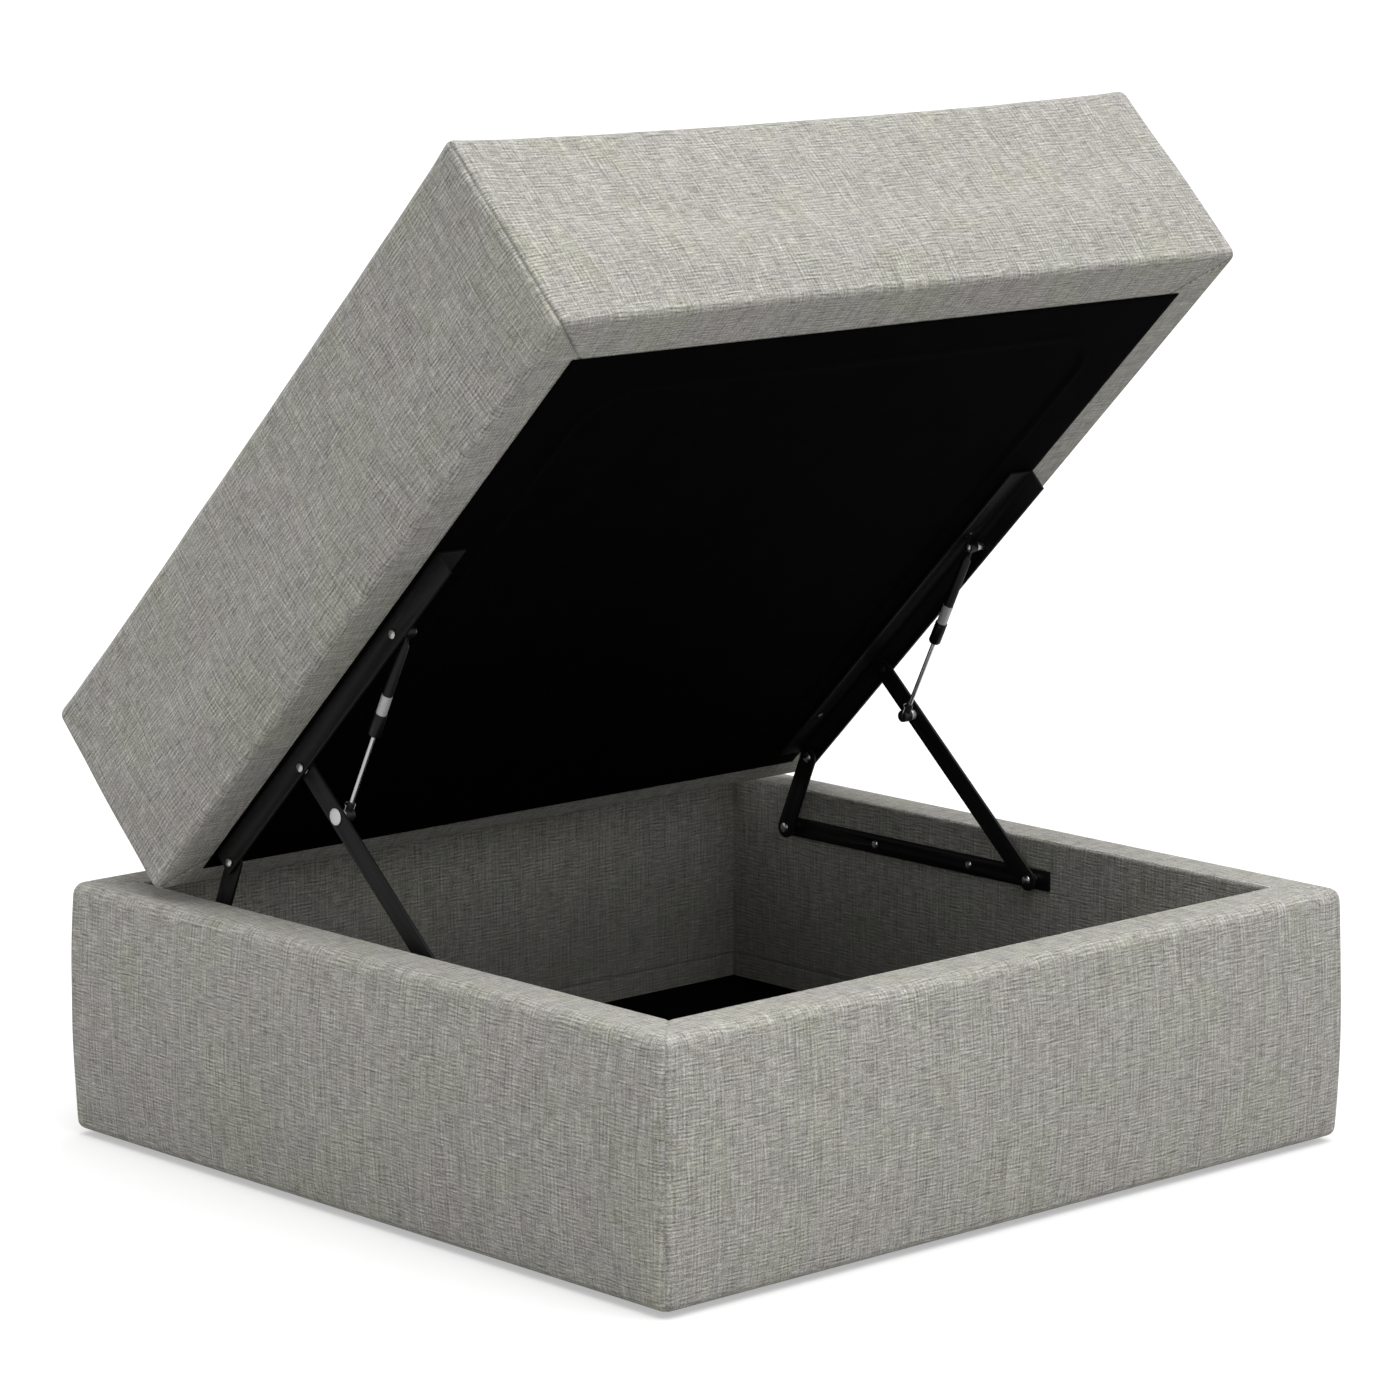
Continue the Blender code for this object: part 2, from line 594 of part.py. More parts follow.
def build_strut(lid, side, name, looks):
    """The cylinder turns on the lid's stud and the rod slides in it, both along the strut's +Y."""
    spot_y = SHORT_ARM_ON_LID[0] - STRUT_ON_LID[0]
    spot_z = STRUT_ON_LID[1] - SHORT_ARM_ON_LID[1]
    turn = STRUT_ANGLE + LID_OPEN_ANGLE
    pivot = make_empty(name + "_strut_pivot", lid, (side * STRUT_X, spot_y, spot_z), turn)

    cap_from = CYLINDER_REACH - CYLINDER_CAP_LENGTH
    body = [(EYE - EYE_OVERLAP, CYLINDER_NECK), (NECK_END, CYLINDER_NECK), (SHOULDER_END, CYLINDER)]
    body += [(cap_from, CYLINDER), (cap_from, CYLINDER_CAP)]
    body += [(CYLINDER_REACH - CAP_BEVEL_LENGTH, CYLINDER_CAP)]
    body += [(CYLINDER_REACH, CYLINDER_CAP - CAP_BEVEL_DEPTH), (CYLINDER_REACH, ROD_BORE)]
    body += [(CYLINDER_REACH - BORE_DEPTH, ROD_BORE)]
    cylinder = make_object(name + "_strut_cylinder", along_y(turned(body)), looks["strut"], pivot)
    eye = plate([circle((0, 0), EYE), circle((0, 0), PIN_HOLE)], (-EYE_HALF, EYE_HALF))
    join_with(cylinder, eye)

    slide = make_empty(name + "_rod_end", pivot, (0, STRUT_LENGTH, 0))
    inside = CYLINDER_REACH - ROD_INSERTED - STRUT_LENGTH
    rod_shape = turned([(inside, ROD), (EYE_OVERLAP - EYE, ROD)])
    rod = make_object(name + "_strut_rod", along_y(rod_shape), looks["chrome"], slide)
    join_with(rod, plate([circle((0, 0), EYE)], (-EYE_HALF, EYE_HALF)))


def along_y(bm):
    """Turns a shape made along X so that it lies along Y."""
    bmesh.ops.rotate(bm, cent=(0, 0, 0), matrix=Matrix.Rotation(math.pi / 2, 3, "Z"), verts=bm.verts)
    return bm


# ---------------------------------------------------------------- the ottoman

def build_ottoman():
    clear_scene()
    looks = {
        "linen": make_material("linen", (0.52, 0.51, 0.475), 0.92),
        "foam": make_material("foam", (0.85, 0.80, 0.62), 0.95),
        "wood": make_material("wood", (0.62, 0.46, 0.29), 0.70),
        "black_cloth": make_material("black_cloth", (0.012, 0.012, 0.013), 0.95),
        "black_steel": make_material("black_steel", (0.018, 0.018, 0.019), 0.45, 0.2),
        "zinc": make_material("zinc", (0.62, 0.63, 0.64), 0.32, 1.0),
        "strut": make_material("strut", (0.02, 0.02, 0.022), 0.35, 0.2),
        "chrome": make_material("chrome", (0.72, 0.72, 0.73), 0.12, 1.0),
        "plastic": make_material("plastic", (0.02, 0.02, 0.02), 0.60),
    }
    base = make_empty("base_frame", None, (0, BASE_SHIFT, FOOT_HEIGHT))
    lid = make_empty("lid_pivot", base, (0, *SHORT_ARM_TOP), -LID_OPEN_ANGLE)
    build_base(base, looks)
    build_lid(lid, looks)
    for name, side in (("left", -1), ("right", 1)):
        build_base_rail(base, side, name, looks)
        build_short_arm(base, side, name, looks)
        build_long_arm(base, side, name, looks)
        build_lid_rail(lid, side, name, looks)
        build_strut(lid, side, name, looks)
    bpy.context.view_layer.update()


build_ottoman()
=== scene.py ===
import json
import math

import bmesh
import bpy
import numpy as np
from mathutils import Matrix, Vector, noise


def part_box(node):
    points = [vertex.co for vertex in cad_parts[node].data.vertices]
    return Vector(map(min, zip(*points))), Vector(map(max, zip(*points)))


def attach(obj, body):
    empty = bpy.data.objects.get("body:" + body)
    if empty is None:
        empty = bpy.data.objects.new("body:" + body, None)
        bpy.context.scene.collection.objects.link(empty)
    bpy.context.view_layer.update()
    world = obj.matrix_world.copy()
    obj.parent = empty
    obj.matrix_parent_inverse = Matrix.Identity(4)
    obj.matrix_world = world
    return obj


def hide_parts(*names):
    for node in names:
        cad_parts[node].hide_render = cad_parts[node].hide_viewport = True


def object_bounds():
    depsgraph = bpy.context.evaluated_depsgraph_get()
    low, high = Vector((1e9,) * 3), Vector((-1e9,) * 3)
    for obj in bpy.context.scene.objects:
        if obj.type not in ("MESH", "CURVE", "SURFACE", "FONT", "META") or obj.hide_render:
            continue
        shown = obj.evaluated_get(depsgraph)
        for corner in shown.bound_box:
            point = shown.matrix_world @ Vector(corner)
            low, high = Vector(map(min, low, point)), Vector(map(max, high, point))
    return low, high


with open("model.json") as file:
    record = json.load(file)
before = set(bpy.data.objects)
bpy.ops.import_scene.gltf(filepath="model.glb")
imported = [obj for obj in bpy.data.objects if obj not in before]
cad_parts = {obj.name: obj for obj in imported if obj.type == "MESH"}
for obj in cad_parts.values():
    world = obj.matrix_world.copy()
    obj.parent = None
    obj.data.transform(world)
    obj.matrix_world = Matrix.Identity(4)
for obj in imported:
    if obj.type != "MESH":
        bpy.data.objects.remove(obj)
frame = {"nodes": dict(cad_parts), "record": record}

CAD_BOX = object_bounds()

# Cloth covers
ARC_STEPS = 4
CLOTH_STEP = 0.009
COVER_THICKNESS = 0.0022
TIGHT_CORNER = 0.0022
SEAM_HALF = 0.0019
SEAM_SHADE = 0.0012
RUFFLE = 0.0007
RUFFLE_LENGTH = 0.075
SEAM_FINENESS = 3  # how much shorter the waves along a seam are
SEAM_UNEVENNESS = 0.5

# Lid cushion
LID_ROUND = 0.011
LID_FOOT_ROUND = 0.007
LID_RIM_WIDTH = 0.060
LID_TOP_CROWN = 0.006
LID_END_DIP = 0.0050
LID_SIDE_EDGE_DIP = 0.0010
LID_TIP_DROP = 0.0005
LID_SIDE_CROWN = 0.004
LID_SIDE_DIP = 0.002
LID_TOP_FROM = 0.35  # share of the height where the top's shaping starts
# Powers of the lid's falloffs: the higher, the nearer to its edges
LID_EDGE_POWER = 8
LID_SIDE_POWER = 6
LID_TIP_POWER = 24
LID_DIP_POWER = 0.8
LID_BELLY_POWER = 0.8
LID_CROWN_POWER = 0.7
LID_SEAM = (0.0013, 0.62)  # depth and shade
LID_SEAM_STOP = 0.004  # how far under the top the corner seams end

# Base cover
BASE_ROUND = 0.009
BASE_WALL = 0.051
BASE_TOP_ROUND = 0.011
BASE_INNER_ROUND = 0.0035
BASE_FOOT_ROUND = 0.009
BASE_TUCK = 0.0155
BASE_BULGE = 0.0035
BASE_SIDE_CROWN = 0.003
BASE_SEAM = (0.0006, 0.25)  # depth and shade
LINING_SEAM_HEIGHT = 0.024
# Painted shade on the lining: how much its colour darkens at the storage floor, and the height over
# which that fades
LINING_PAINTED_SHADE = 0.60
LINING_PAINTED_SHADE_HEIGHT = 0.200
LINING_SEAM_ROWS = (0.006, 0.003, 0.0015, 0.0, -0.0015, -0.003, -0.006)
LINING_MARGIN = 0.002
BASE_OUTER_DEPTH = 0.02
# Powers of the base's falloffs
BASE_BELLY_POWER = 0.7
BASE_SLACK_POWER = 0.4
BASE_SIDE_POWER = 30

# Black cloths
SHEET_THICKNESS = 0.0008
LID_SHEET_CELL = 0.005
BASE_SHEET_CELL = 0.02
LID_SHEET_DROP = 0.0002
BASE_SHEET_DROP = 0.0001
BASE_SHEET_SAG = 0.0003
BASE_SHEET_EDGE = 0.05
OPENING_MARGIN = 0.110
OPENING_CORNER = 0.055
OPENING_STEP = 0.0045
OPENING_SINK = 0.0012
OPENING_RIDGE = 0.0011
OPENING_RIDGE_HALF = 0.0025

# Linen. Each yarn noise is its scale along the weave's three coordinates, its detail and its start.
WEFT = ((60.0, 560.0, 9.0), 0.5, 3.1)
WARP = ((580.0, 30.0, 9.0), 0.5, 7.7)
SLUB = ((260.0, 11.0, 9.0), 2.0, 5.9)
FLECK = ((760.0, 800.0, 9.0), 1.0, 9.2)
BAND = ((75.0, 5.0, 9.0), 2.0, 2.2)
HUE = ((13.0, 11.0, 9.0), 1.0, 6.4)
TINGE = ((150.0, 170.0, 9.0), 2.0, 8.3)
YARN_ROUGHNESS = 0.6
WEFT_SHARE = 0.6
WARP_SHARE = 0.45
SLUB_SHARE = 0.12
FLECK_SHARE = 1.1
BAND_SHARE = 0.08
YARN_CONTRAST = 0.32
YARN_MIDDLE = 0.124
ROW_PITCH = 0.0037
ROW_DASH = (95.0, 300.0, 9.0)
ROW_START = 4.4
ROW_SHARE = 0.058
ROW_RISE = 0.3
COLUMN_PITCH = 0.0046
COLUMN_DASH = (260.0, 24.0, 9.0)
COLUMN_START = 6.8
COLUMN_SHARE = 0.034
THREAD_SWAY = 14.0
THREAD_SWAY_SCALE = (18.0, 18.0, 9.0)
DASH_CONTRAST = 4.0
DASH_CUT = -1.6
LINEN_TONES = ((0.37, (0.150, 0.147, 0.131)), (0.46, (0.297, 0.292, 0.268)),
               (0.54, (0.433, 0.426, 0.397)), (0.63, (0.650, 0.642, 0.610)))
LINEN_TINTS = ((0.36, (0.992, 1.0, 0.945)), (0.50, (1.0, 1.0, 1.0)), (0.64, (1.0, 0.982, 0.990)))
# Colour mixed in along seams and for the painted shade low on the base's lining
SEAM_AND_PAINTED_SHADE_COLOUR = (0.11, 0.107, 0.095, 1.0)
LINEN_BUMP = 0.0008

# Black cloth
FIBRE_SCALE = 900.0
FIBRE_STRETCH = (1.0, 0.35, 1.0)
CLOUD_SCALE = 22.0
WELD_SCALE = 330.0
BLACK_TONES = ((0.35, (0.0004, 0.0004, 0.0004)), (0.65, (0.0014, 0.0014, 0.0015)))
BLACK_BUMP = 0.0004

# Metal
METAL_GRAIN = 1400.0
METAL_WEAR = 120.0
METAL_ROUGHNESS = 0.18
METAL_WEAR_ROUGHNESS = 0.22
METAL_BUMP = 0.0001

# Hinge details
SHARP_ANGLE = math.radians(40)
EDGE_WIDTH = 0.00035
WELD_REACH = 0.00001
TURN_STEPS = 32
STRUT_CAP_LENGTH = 0.024
LABEL_LENGTH = 0.021
LABEL_RISE = 0.00025
SOCKET_RADIUS = 0.0061
SOCKET_HALF = 0.0052
SOCKET_EDGE = SOCKET_HALF / 6
COLLAR_RADIUS = 0.0036
COLLAR_REACH = 0.0150
COLLAR_EDGE = COLLAR_RADIUS / 4
CLIP_WIRE = 0.00045
CLIP_HEIGHT = COLLAR_REACH * 0.72
SCREW_HEAD = 0.0042
SCREW_HEAD_HEIGHT = 0.0024
SCREW_RINGS = 18
SCREW_STEPS = 3 * TURN_STEPS
SCREW_FLATNESS = 3
SCREW_SHOULDER = 0.45
RECESS_REACH = 0.0019
RECESS_HALF = 0.00042
RECESS_DEPTH = 0.0011
RECESS_END_FROM = 0.85  # share of the reach where the recess starts to rise
RECESS_END = 0.3

# Cloth simulation
PRESSURE = 4.0
SIM_FRAMES = 20
LID_CAP = 0.0035
TIP_HOLD = 0.9
TIP_HOLD_POWER = 8
BASE_CAP = 0.003
LID_SEAM_HOLD = 0.9
LID_SEAM_HOLD_HALF = 0.009
LID_SEAM_HOLD_TOP = 0.060
LID_SEAM_HOLD_FADE = 0.045
LID_LOW_HOLD = 0.004
LID_LOW_HOLD_FADE = 0.030
LID_UNDERSIDE = 0.0005
BASE_SEAM_HOLD_HALF = 0.004
BASE_LOW_HOLD = 0.006
BASE_HIGH_HOLD = 0.010
BASE_HOLD_FADE = 0.02

# Camera, as the azimuth and elevation that it looks from, and where its axis passes the object
VIEW_AZIMUTH = math.radians(-42.72)
VIEW_ELEVATION = math.radians(10.533)
VIEW_DISTANCE = 5.2702
VIEW_LENS = 141.86
VIEW_AIM = Vector((-0.0047, -0.0145, 0.4314))
VIEW_CLIP = 200.0

# Lights, each with its azimuth, elevation and strength, and how wide it is
SKY_LIGHT = (15.0, 78.0, 3.0, 70.0)
FRONT_LIGHT = (20.0, 28.0, 0.10, 60.0)
FILL_STRENGTH = 0.51

# Floor
FLOOR_HALF = 60.0
FLOOR_GAP = 0.0002
FLOOR_TONE = 0.45
FLOOR_SEEN_TONE = 0.13
FLOOR_GLOW = 0.42


# ---------------------------------------------------------------- places read from the frame

def node_points(node):
    return np.array([v.co for v in frame["nodes"][node].data.vertices], float)


def lid_axes():
    """The lid's directions at rest, as rows: across, towards its back, out of its top."""
    deck = node_points("lid_deck")
    front_edge = deck[deck[:, 1].argmin()]
    back_edge = deck[deck[:, 2].argmin()]
    across = np.array((1.0, 0.0, 0.0))
    backward = back_edge - front_edge
    backward[0] = 0.0
    backward /= np.linalg.norm(backward)
    return np.array((across, backward, np.cross(across, backward)))


def box_along(node, axes):
    along = node_points(node) @ axes.T
    return along.min(0), along.max(0)


def frame_matrix(axes, origin):
    matrix = Matrix.Identity(4)
    for column in range(3):
        for row in range(3):
            matrix[row][column] = axes[column][row]
        matrix[column][3] = origin[column]
    return matrix


LID_AXES = lid_axes()
LID_LOW, LID_HIGH = box_along("lid_cover", LID_AXES)
LID_HALF = (LID_HIGH - LID_LOW) / 2
LID_HEIGHT = LID_HIGH[2] - LID_LOW[2]
LID_UNDER = np.array((*(LID_LOW + LID_HALF)[:2], LID_LOW[2]))
LID_PLACE = frame_matrix(LID_AXES, LID_UNDER @ LID_AXES)

BASE_LOW, BASE_HIGH = (np.array(corner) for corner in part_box("base_cover"))
BASE_HALF = (BASE_HIGH - BASE_LOW) / 2
BASE_HEIGHT = BASE_HIGH[2] - BASE_LOW[2]
BASE_PLACE = Matrix.Translation((0.0, (BASE_LOW[1] + BASE_HIGH[1]) / 2, BASE_LOW[2]))
LINING_END, FLOOR_TOP = (corner.z - BASE_LOW[2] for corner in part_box("storage_floor"))
LINING_SEAM = FLOOR_TOP + LINING_SEAM_HEIGHT


# ---------------------------------------------------------------- materials

def add_node(tree, kind, inputs=None, **settings):
    """A shader node. Each input is a number, a colour, or another node's output to link."""
    made = tree.nodes.new(kind)
    for key, value in settings.items():
        setattr(made, key, value)
    for key, value in (inputs or {}).items():
        if isinstance(value, bpy.types.NodeSocket):
            tree.links.new(value, made.inputs[key])
        else:
            made.inputs[key].default_value = value
    return made


def start_material(name, **shader_inputs):
    material = bpy.data.materials.new(name)
    material.use_nodes = True
    tree = material.node_tree
    shader = tree.nodes["Principled BSDF"]
    for key, value in shader_inputs.items():
        shader.inputs[key.replace("_", " ")].default_value = value
    return material, tree, shader


def maths(tree, operation, first, second=0.0, third=0.0):
    made = add_node(tree, "ShaderNodeMath", {0: first, 1: second, 2: third}, operation=operation)
    return made.outputs[0]


def ramp(tree, factor, tones):
    """A colour ramp from (position, colour) tones."""
    made = add_node(tree, "ShaderNodeValToRGB", {"Fac": factor})
    elements = made.color_ramp.elements
    while len(elements) < len(tones):
        elements.new(0.5)
    for element, (position, colour) in zip(elements, tones):
        element.position = position
        element.color = (*colour, 1.0)
    return made.outputs["Color"]


def mix_colour(tree, factor, first, second, blend="MIX"):
    made = tree.nodes.new("ShaderNodeMix")
    made.data_type = "RGBA"
    made.blend_type = blend
    for socket, value in ((made.inputs[0], factor), (made.inputs[6], first), (made.inputs[7], second)):
        if isinstance(value, bpy.types.NodeSocket):
            tree.links.new(value, socket)
        else:
            socket.default_value = value
    return made.outputs[2]


def streaks(tree, place, scale, detail, start):
    """Noise on the weave's own coordinates, drawn out by an unequal scale."""
    moved = add_node(tree, "ShaderNodeMapping",
                     {"Vector": place, "Location": (start, start, start), "Scale": scale})
    made = add_node(tree, "ShaderNodeTexNoise",
                    {"Vector": moved.outputs[0], "Scale": 1.0, "Detail": detail,
                     "Roughness": YARN_ROUGHNESS})
    return made.outputs["Fac"]


def thread_lines(tree, place, across, pitch, dash_scale, start):
    """Wavy parallel threads a pitch apart, which come and go in dashes."""
    sway = streaks(tree, place, THREAD_SWAY_SCALE, 1.0, start)
    bend = maths(tree, "MULTIPLY", sway, THREAD_SWAY)
    phase = maths(tree, "MULTIPLY_ADD", across, 2 * math.pi / pitch, bend)
    wave = maths(tree, "SINE", phase)
    dash = streaks(tree, place, dash_scale, 1.0, start + 1.0)
    shown = maths(tree, "MAXIMUM", maths(tree, "MULTIPLY_ADD", dash, DASH_CONTRAST, DASH_CUT), 0.0)
    return maths(tree, "MULTIPLY", wave, shown)


def linen_material():
    """Heathered plain weave: light and dark slubs along both yarns, and a faint drift of hue."""
    material, tree, shader = start_material("linen", Roughness=0.95)
    shader.inputs["Sheen Weight"].default_value = 0.12
    shader.inputs["Sheen Roughness"].default_value = 0.6
    shader.inputs["Specular IOR Level"].default_value = 0.2
    place = add_node(tree, "ShaderNodeAttribute", attribute_name="weave").outputs["Vector"]
    weft = streaks(tree, place, *WEFT)
    warp = streaks(tree, place, *WARP)
    slub = streaks(tree, place, *SLUB)
    fleck = streaks(tree, place, *FLECK)
    band = streaks(tree, place, *BAND)
    hue = streaks(tree, place, *HUE)
    tinge = streaks(tree, place, *TINGE)
    split = add_node(tree, "ShaderNodeSeparateXYZ", {"Vector": place})
    rows = thread_lines(tree, place, split.outputs[1], ROW_PITCH, ROW_DASH, ROW_START)
    columns = thread_lines(tree, place, split.outputs[0], COLUMN_PITCH, COLUMN_DASH, COLUMN_START)

    tone = maths(tree, "MULTIPLY_ADD", weft, WEFT_SHARE, maths(tree, "MULTIPLY", warp, WARP_SHARE))
    tone = maths(tree, "MULTIPLY_ADD", slub, SLUB_SHARE, tone)
    tone = maths(tree, "MULTIPLY_ADD", fleck, FLECK_SHARE, tone)
    tone = maths(tree, "MULTIPLY_ADD", band, BAND_SHARE, tone)
    tone = maths(tree, "MULTIPLY_ADD", tone, YARN_CONTRAST, YARN_MIDDLE)
    tone = maths(tree, "MULTIPLY_ADD", rows, ROW_SHARE, tone)
    tone = maths(tree, "MULTIPLY_ADD", columns, COLUMN_SHARE, tone)
    colour = ramp(tree, tone, LINEN_TONES)
    for shade in (hue, tinge):
        colour = mix_colour(tree, 1.0, colour, ramp(tree, shade, LINEN_TINTS), "MULTIPLY")
    # One attribute holds the seams' darkening and the painted shade low on the base's lining
    seam_and_painted_shade = add_node(tree, "ShaderNodeAttribute", attribute_name="seam_and_painted_shade").outputs["Fac"]
    colour = mix_colour(tree, seam_and_painted_shade, colour, SEAM_AND_PAINTED_SHADE_COLOUR)
    tree.links.new(colour, shader.inputs["Base Color"])

    height = maths(tree, "ADD", weft, warp)
    height = maths(tree, "ADD", height, fleck)
    height = maths(tree, "MULTIPLY_ADD", rows, ROW_RISE, height)
    add_bump(tree, shader, height, 0.5, LINEN_BUMP)
    return material


def add_bump(tree, shader, height, strength, distance):
    bump = add_node(tree, "ShaderNodeBump",
                    {"Height": height, "Strength": strength, "Distance": distance})
    tree.links.new(bump.outputs[0], shader.inputs["Normal"])


def object_noise(tree, scale, detail=2.0, stretch=(1.0, 1.0, 1.0)):
    place = add_node(tree, "ShaderNodeTexCoord").outputs["Object"]
    moved = add_node(tree, "ShaderNodeMapping", {"Vector": place, "Scale": stretch})
    made = add_node(tree, "ShaderNodeTexNoise",
                    {"Vector": moved.outputs[0], "Scale": scale, "Detail": detail})
    return made.outputs["Fac"]


def speckled_material(name, dark, light, scale, bump_height, detail=2.0, stretch=(1, 1, 1),
                      **shader_inputs):
    """A material whose colour and height follow one noise."""
    material, tree, shader = start_material(name, **shader_inputs)
    grain = object_noise(tree, scale, detail, stretch)
    tree.links.new(ramp(tree, grain, ((0.35, dark), (0.65, light))), shader.inputs["Base Color"])
    add_bump(tree, shader, grain, 0.5, bump_height)
    return material


def black_cloth_material():
    """Thin bonded black cloth: short pressed fibres and a grid of small weld points."""
    material, tree, shader = start_material("black_cloth", Roughness=0.9)
    shader.inputs["Specular IOR Level"].default_value = 0.03
    fibre = object_noise(tree, FIBRE_SCALE, 3.0, FIBRE_STRETCH)
    cloud = object_noise(tree, CLOUD_SCALE)
    place = add_node(tree, "ShaderNodeTexCoord").outputs["Object"]
    welds = add_node(tree, "ShaderNodeTexVoronoi",
                     {"Vector": place, "Scale": WELD_SCALE, "Randomness": 0.15})
    tone = maths(tree, "MULTIPLY_ADD", cloud, 0.5, maths(tree, "MULTIPLY", fibre, 0.5))
    tree.links.new(ramp(tree, tone, BLACK_TONES), shader.inputs["Base Color"])
    add_bump(tree, shader, maths(tree, "ADD", fibre, welds.outputs[0]), 0.4, BLACK_BUMP)
    return material


def brushed_material(name, dark, light, stretch):
    """Metal with fine streaks in its colour and roughness."""
    material, tree, shader = start_material(name, Metallic=1.0)
    grain = object_noise(tree, METAL_GRAIN, 3.0, stretch)
    wear = object_noise(tree, METAL_WEAR)
    tree.links.new(ramp(tree, grain, ((0.3, dark), (0.7, light))), shader.inputs["Base Color"])
    rough = maths(tree, "MULTIPLY_ADD", wear, METAL_WEAR_ROUGHNESS, METAL_ROUGHNESS)
    tree.links.new(rough, shader.inputs["Roughness"])
    add_bump(tree, shader, grain, 0.15, METAL_BUMP)
    return material


def make_looks():
    return {
        "linen": linen_material(),
        "black_cloth": black_cloth_material(),
        "foam": speckled_material(
            "foam", dark=(0.70, 0.63, 0.42), light=(0.86, 0.80, 0.60), scale=420.0,
            bump_height=0.0008, Roughness=0.95),
        "wood": speckled_material(
            "wood", dark=(0.40, 0.27, 0.15), light=(0.66, 0.50, 0.33), scale=26.0,
            bump_height=0.0004, detail=6.0, stretch=(1.0, 9.0, 9.0), Roughness=0.75),
        "black_steel": speckled_material(
            "black_steel", dark=(0.0045, 0.0045, 0.0047), light=(0.0085, 0.0085, 0.0088), scale=1500.0,
            bump_height=0.00012, detail=1.0, Roughness=0.50, Specular_IOR_Level=0.22),
        "strut": speckled_material(
            "strut", dark=(0.0040, 0.0040, 0.0042), light=(0.0075, 0.0075, 0.0078), scale=900.0,
            bump_height=0.00006, detail=1.0, Roughness=0.36, Specular_IOR_Level=0.30),
        "zinc": brushed_material(
            "zinc", dark=(0.50, 0.50, 0.50), light=(0.74, 0.74, 0.73), stretch=(1.0, 1.0, 1.0)),
        "chrome": brushed_material(
            "chrome", dark=(0.70, 0.70, 0.71), light=(0.82, 0.82, 0.83), stretch=(1.0, 0.1, 0.1)),
        "bright_zinc": speckled_material(
            "bright_zinc", dark=(0.74, 0.74, 0.73), light=(0.84, 0.84, 0.83), scale=900.0,
            bump_height=0.00006, Roughness=0.38, Metallic=0.35),
        "label": speckled_material(
            "label", dark=(0.50, 0.51, 0.52), light=(0.60, 0.61, 0.62), scale=700.0,
            bump_height=0.00004, detail=1.0, Roughness=0.40, Metallic=0.2),
        "plastic": speckled_material(
            "plastic", dark=(0.009, 0.009, 0.009), light=(0.016, 0.016, 0.016), scale=1100.0,
            bump_height=0.0001, Roughness=0.55),
    }


# ---------------------------------------------------------------- mesh pieces

def add_mesh_piece(name, points, faces, material, place):
    mesh = bpy.data.meshes.new(name)
    mesh.from_pydata(points, [], faces)
    mesh.materials.append(material)
    mesh.shade_smooth()
    piece = bpy.data.objects.new(name, mesh)
    bpy.context.scene.collection.objects.link(piece)
    piece.matrix_world = place
    return piece


def turned_piece(name, profile, material, place, ring=False):
    """A surface of revolution about its own Z, from (z, radius) points. A ring's profile is closed."""
    points = []
    for z, radius in profile:
        for step in range(TURN_STEPS):
            angle = 2 * math.pi * step / TURN_STEPS
            points.append((radius * math.cos(angle), radius * math.sin(angle), z))
    rows = len(profile)
    faces = []
    for row in range(rows if ring else rows - 1):
        low, high = row * TURN_STEPS, (row + 1) % rows * TURN_STEPS
        for step in range(TURN_STEPS):
            after = (step + 1) % TURN_STEPS
            faces.append((low + step, low + after, high + after, high + step))
    if not ring:
        faces.append(tuple(reversed(range(TURN_STEPS))))
        faces.append(tuple(range((rows - 1) * TURN_STEPS, rows * TURN_STEPS)))
    piece = add_mesh_piece(name, points, faces, material, place)
    piece.data.set_sharp_from_angle(angle=SHARP_ANGLE)
    return piece


def round_barrel(low, high, radius, edge):
    """Profile of a barrel whose two rims are round."""
    start = arc((low + edge, radius - edge), edge, 180, 90, ARC_STEPS)
    return start + arc((high - edge, radius - edge), edge, 90, 0, ARC_STEPS)


# ---------------------------------------------------------------- cloth covers

def smooth_step(value):
    value = np.clip(value, 0.0, 1.0)
    return value * value * (3 - 2 * value)


def stops(half):
    """Lattice stops along an axis: -1 to 1 is flat, and one more unit is half of the round edge."""
    flat = np.linspace(-1, 1, round(2 * half / CLOTH_STEP) + 1)
    edge = np.arange(1, ARC_STEPS + 1) / ARC_STEPS
    return np.concatenate((-1 - edge[::-1], flat, 1 + edge))


def round_parts(stop):
    """Splits a lattice stop into its flat share and its pull towards the round edge."""
    flat = np.clip(stop, -1, 1)
    angle = np.maximum(np.abs(stop) - 1, 0) * math.pi / 4
    return flat, np.sign(stop) * np.tan(angle)


def perimeter(stops_x, stops_y):
    """The lattice's border, anticlockwise from the front left corner, and the side of each step."""
    last_x, last_y = len(stops_x) - 1, len(stops_y) - 1
    border = [(i, 0) for i in range(last_x)]
    border += [(last_x, j) for j in range(last_y)]
    border += [(i, last_y) for i in range(last_x, 0, -1)]
    border += [(0, j) for j in range(last_y, 0, -1)]
    sides = [0] * last_x + [1] * last_y + [2] * last_x + [3] * last_y
    return border, sides


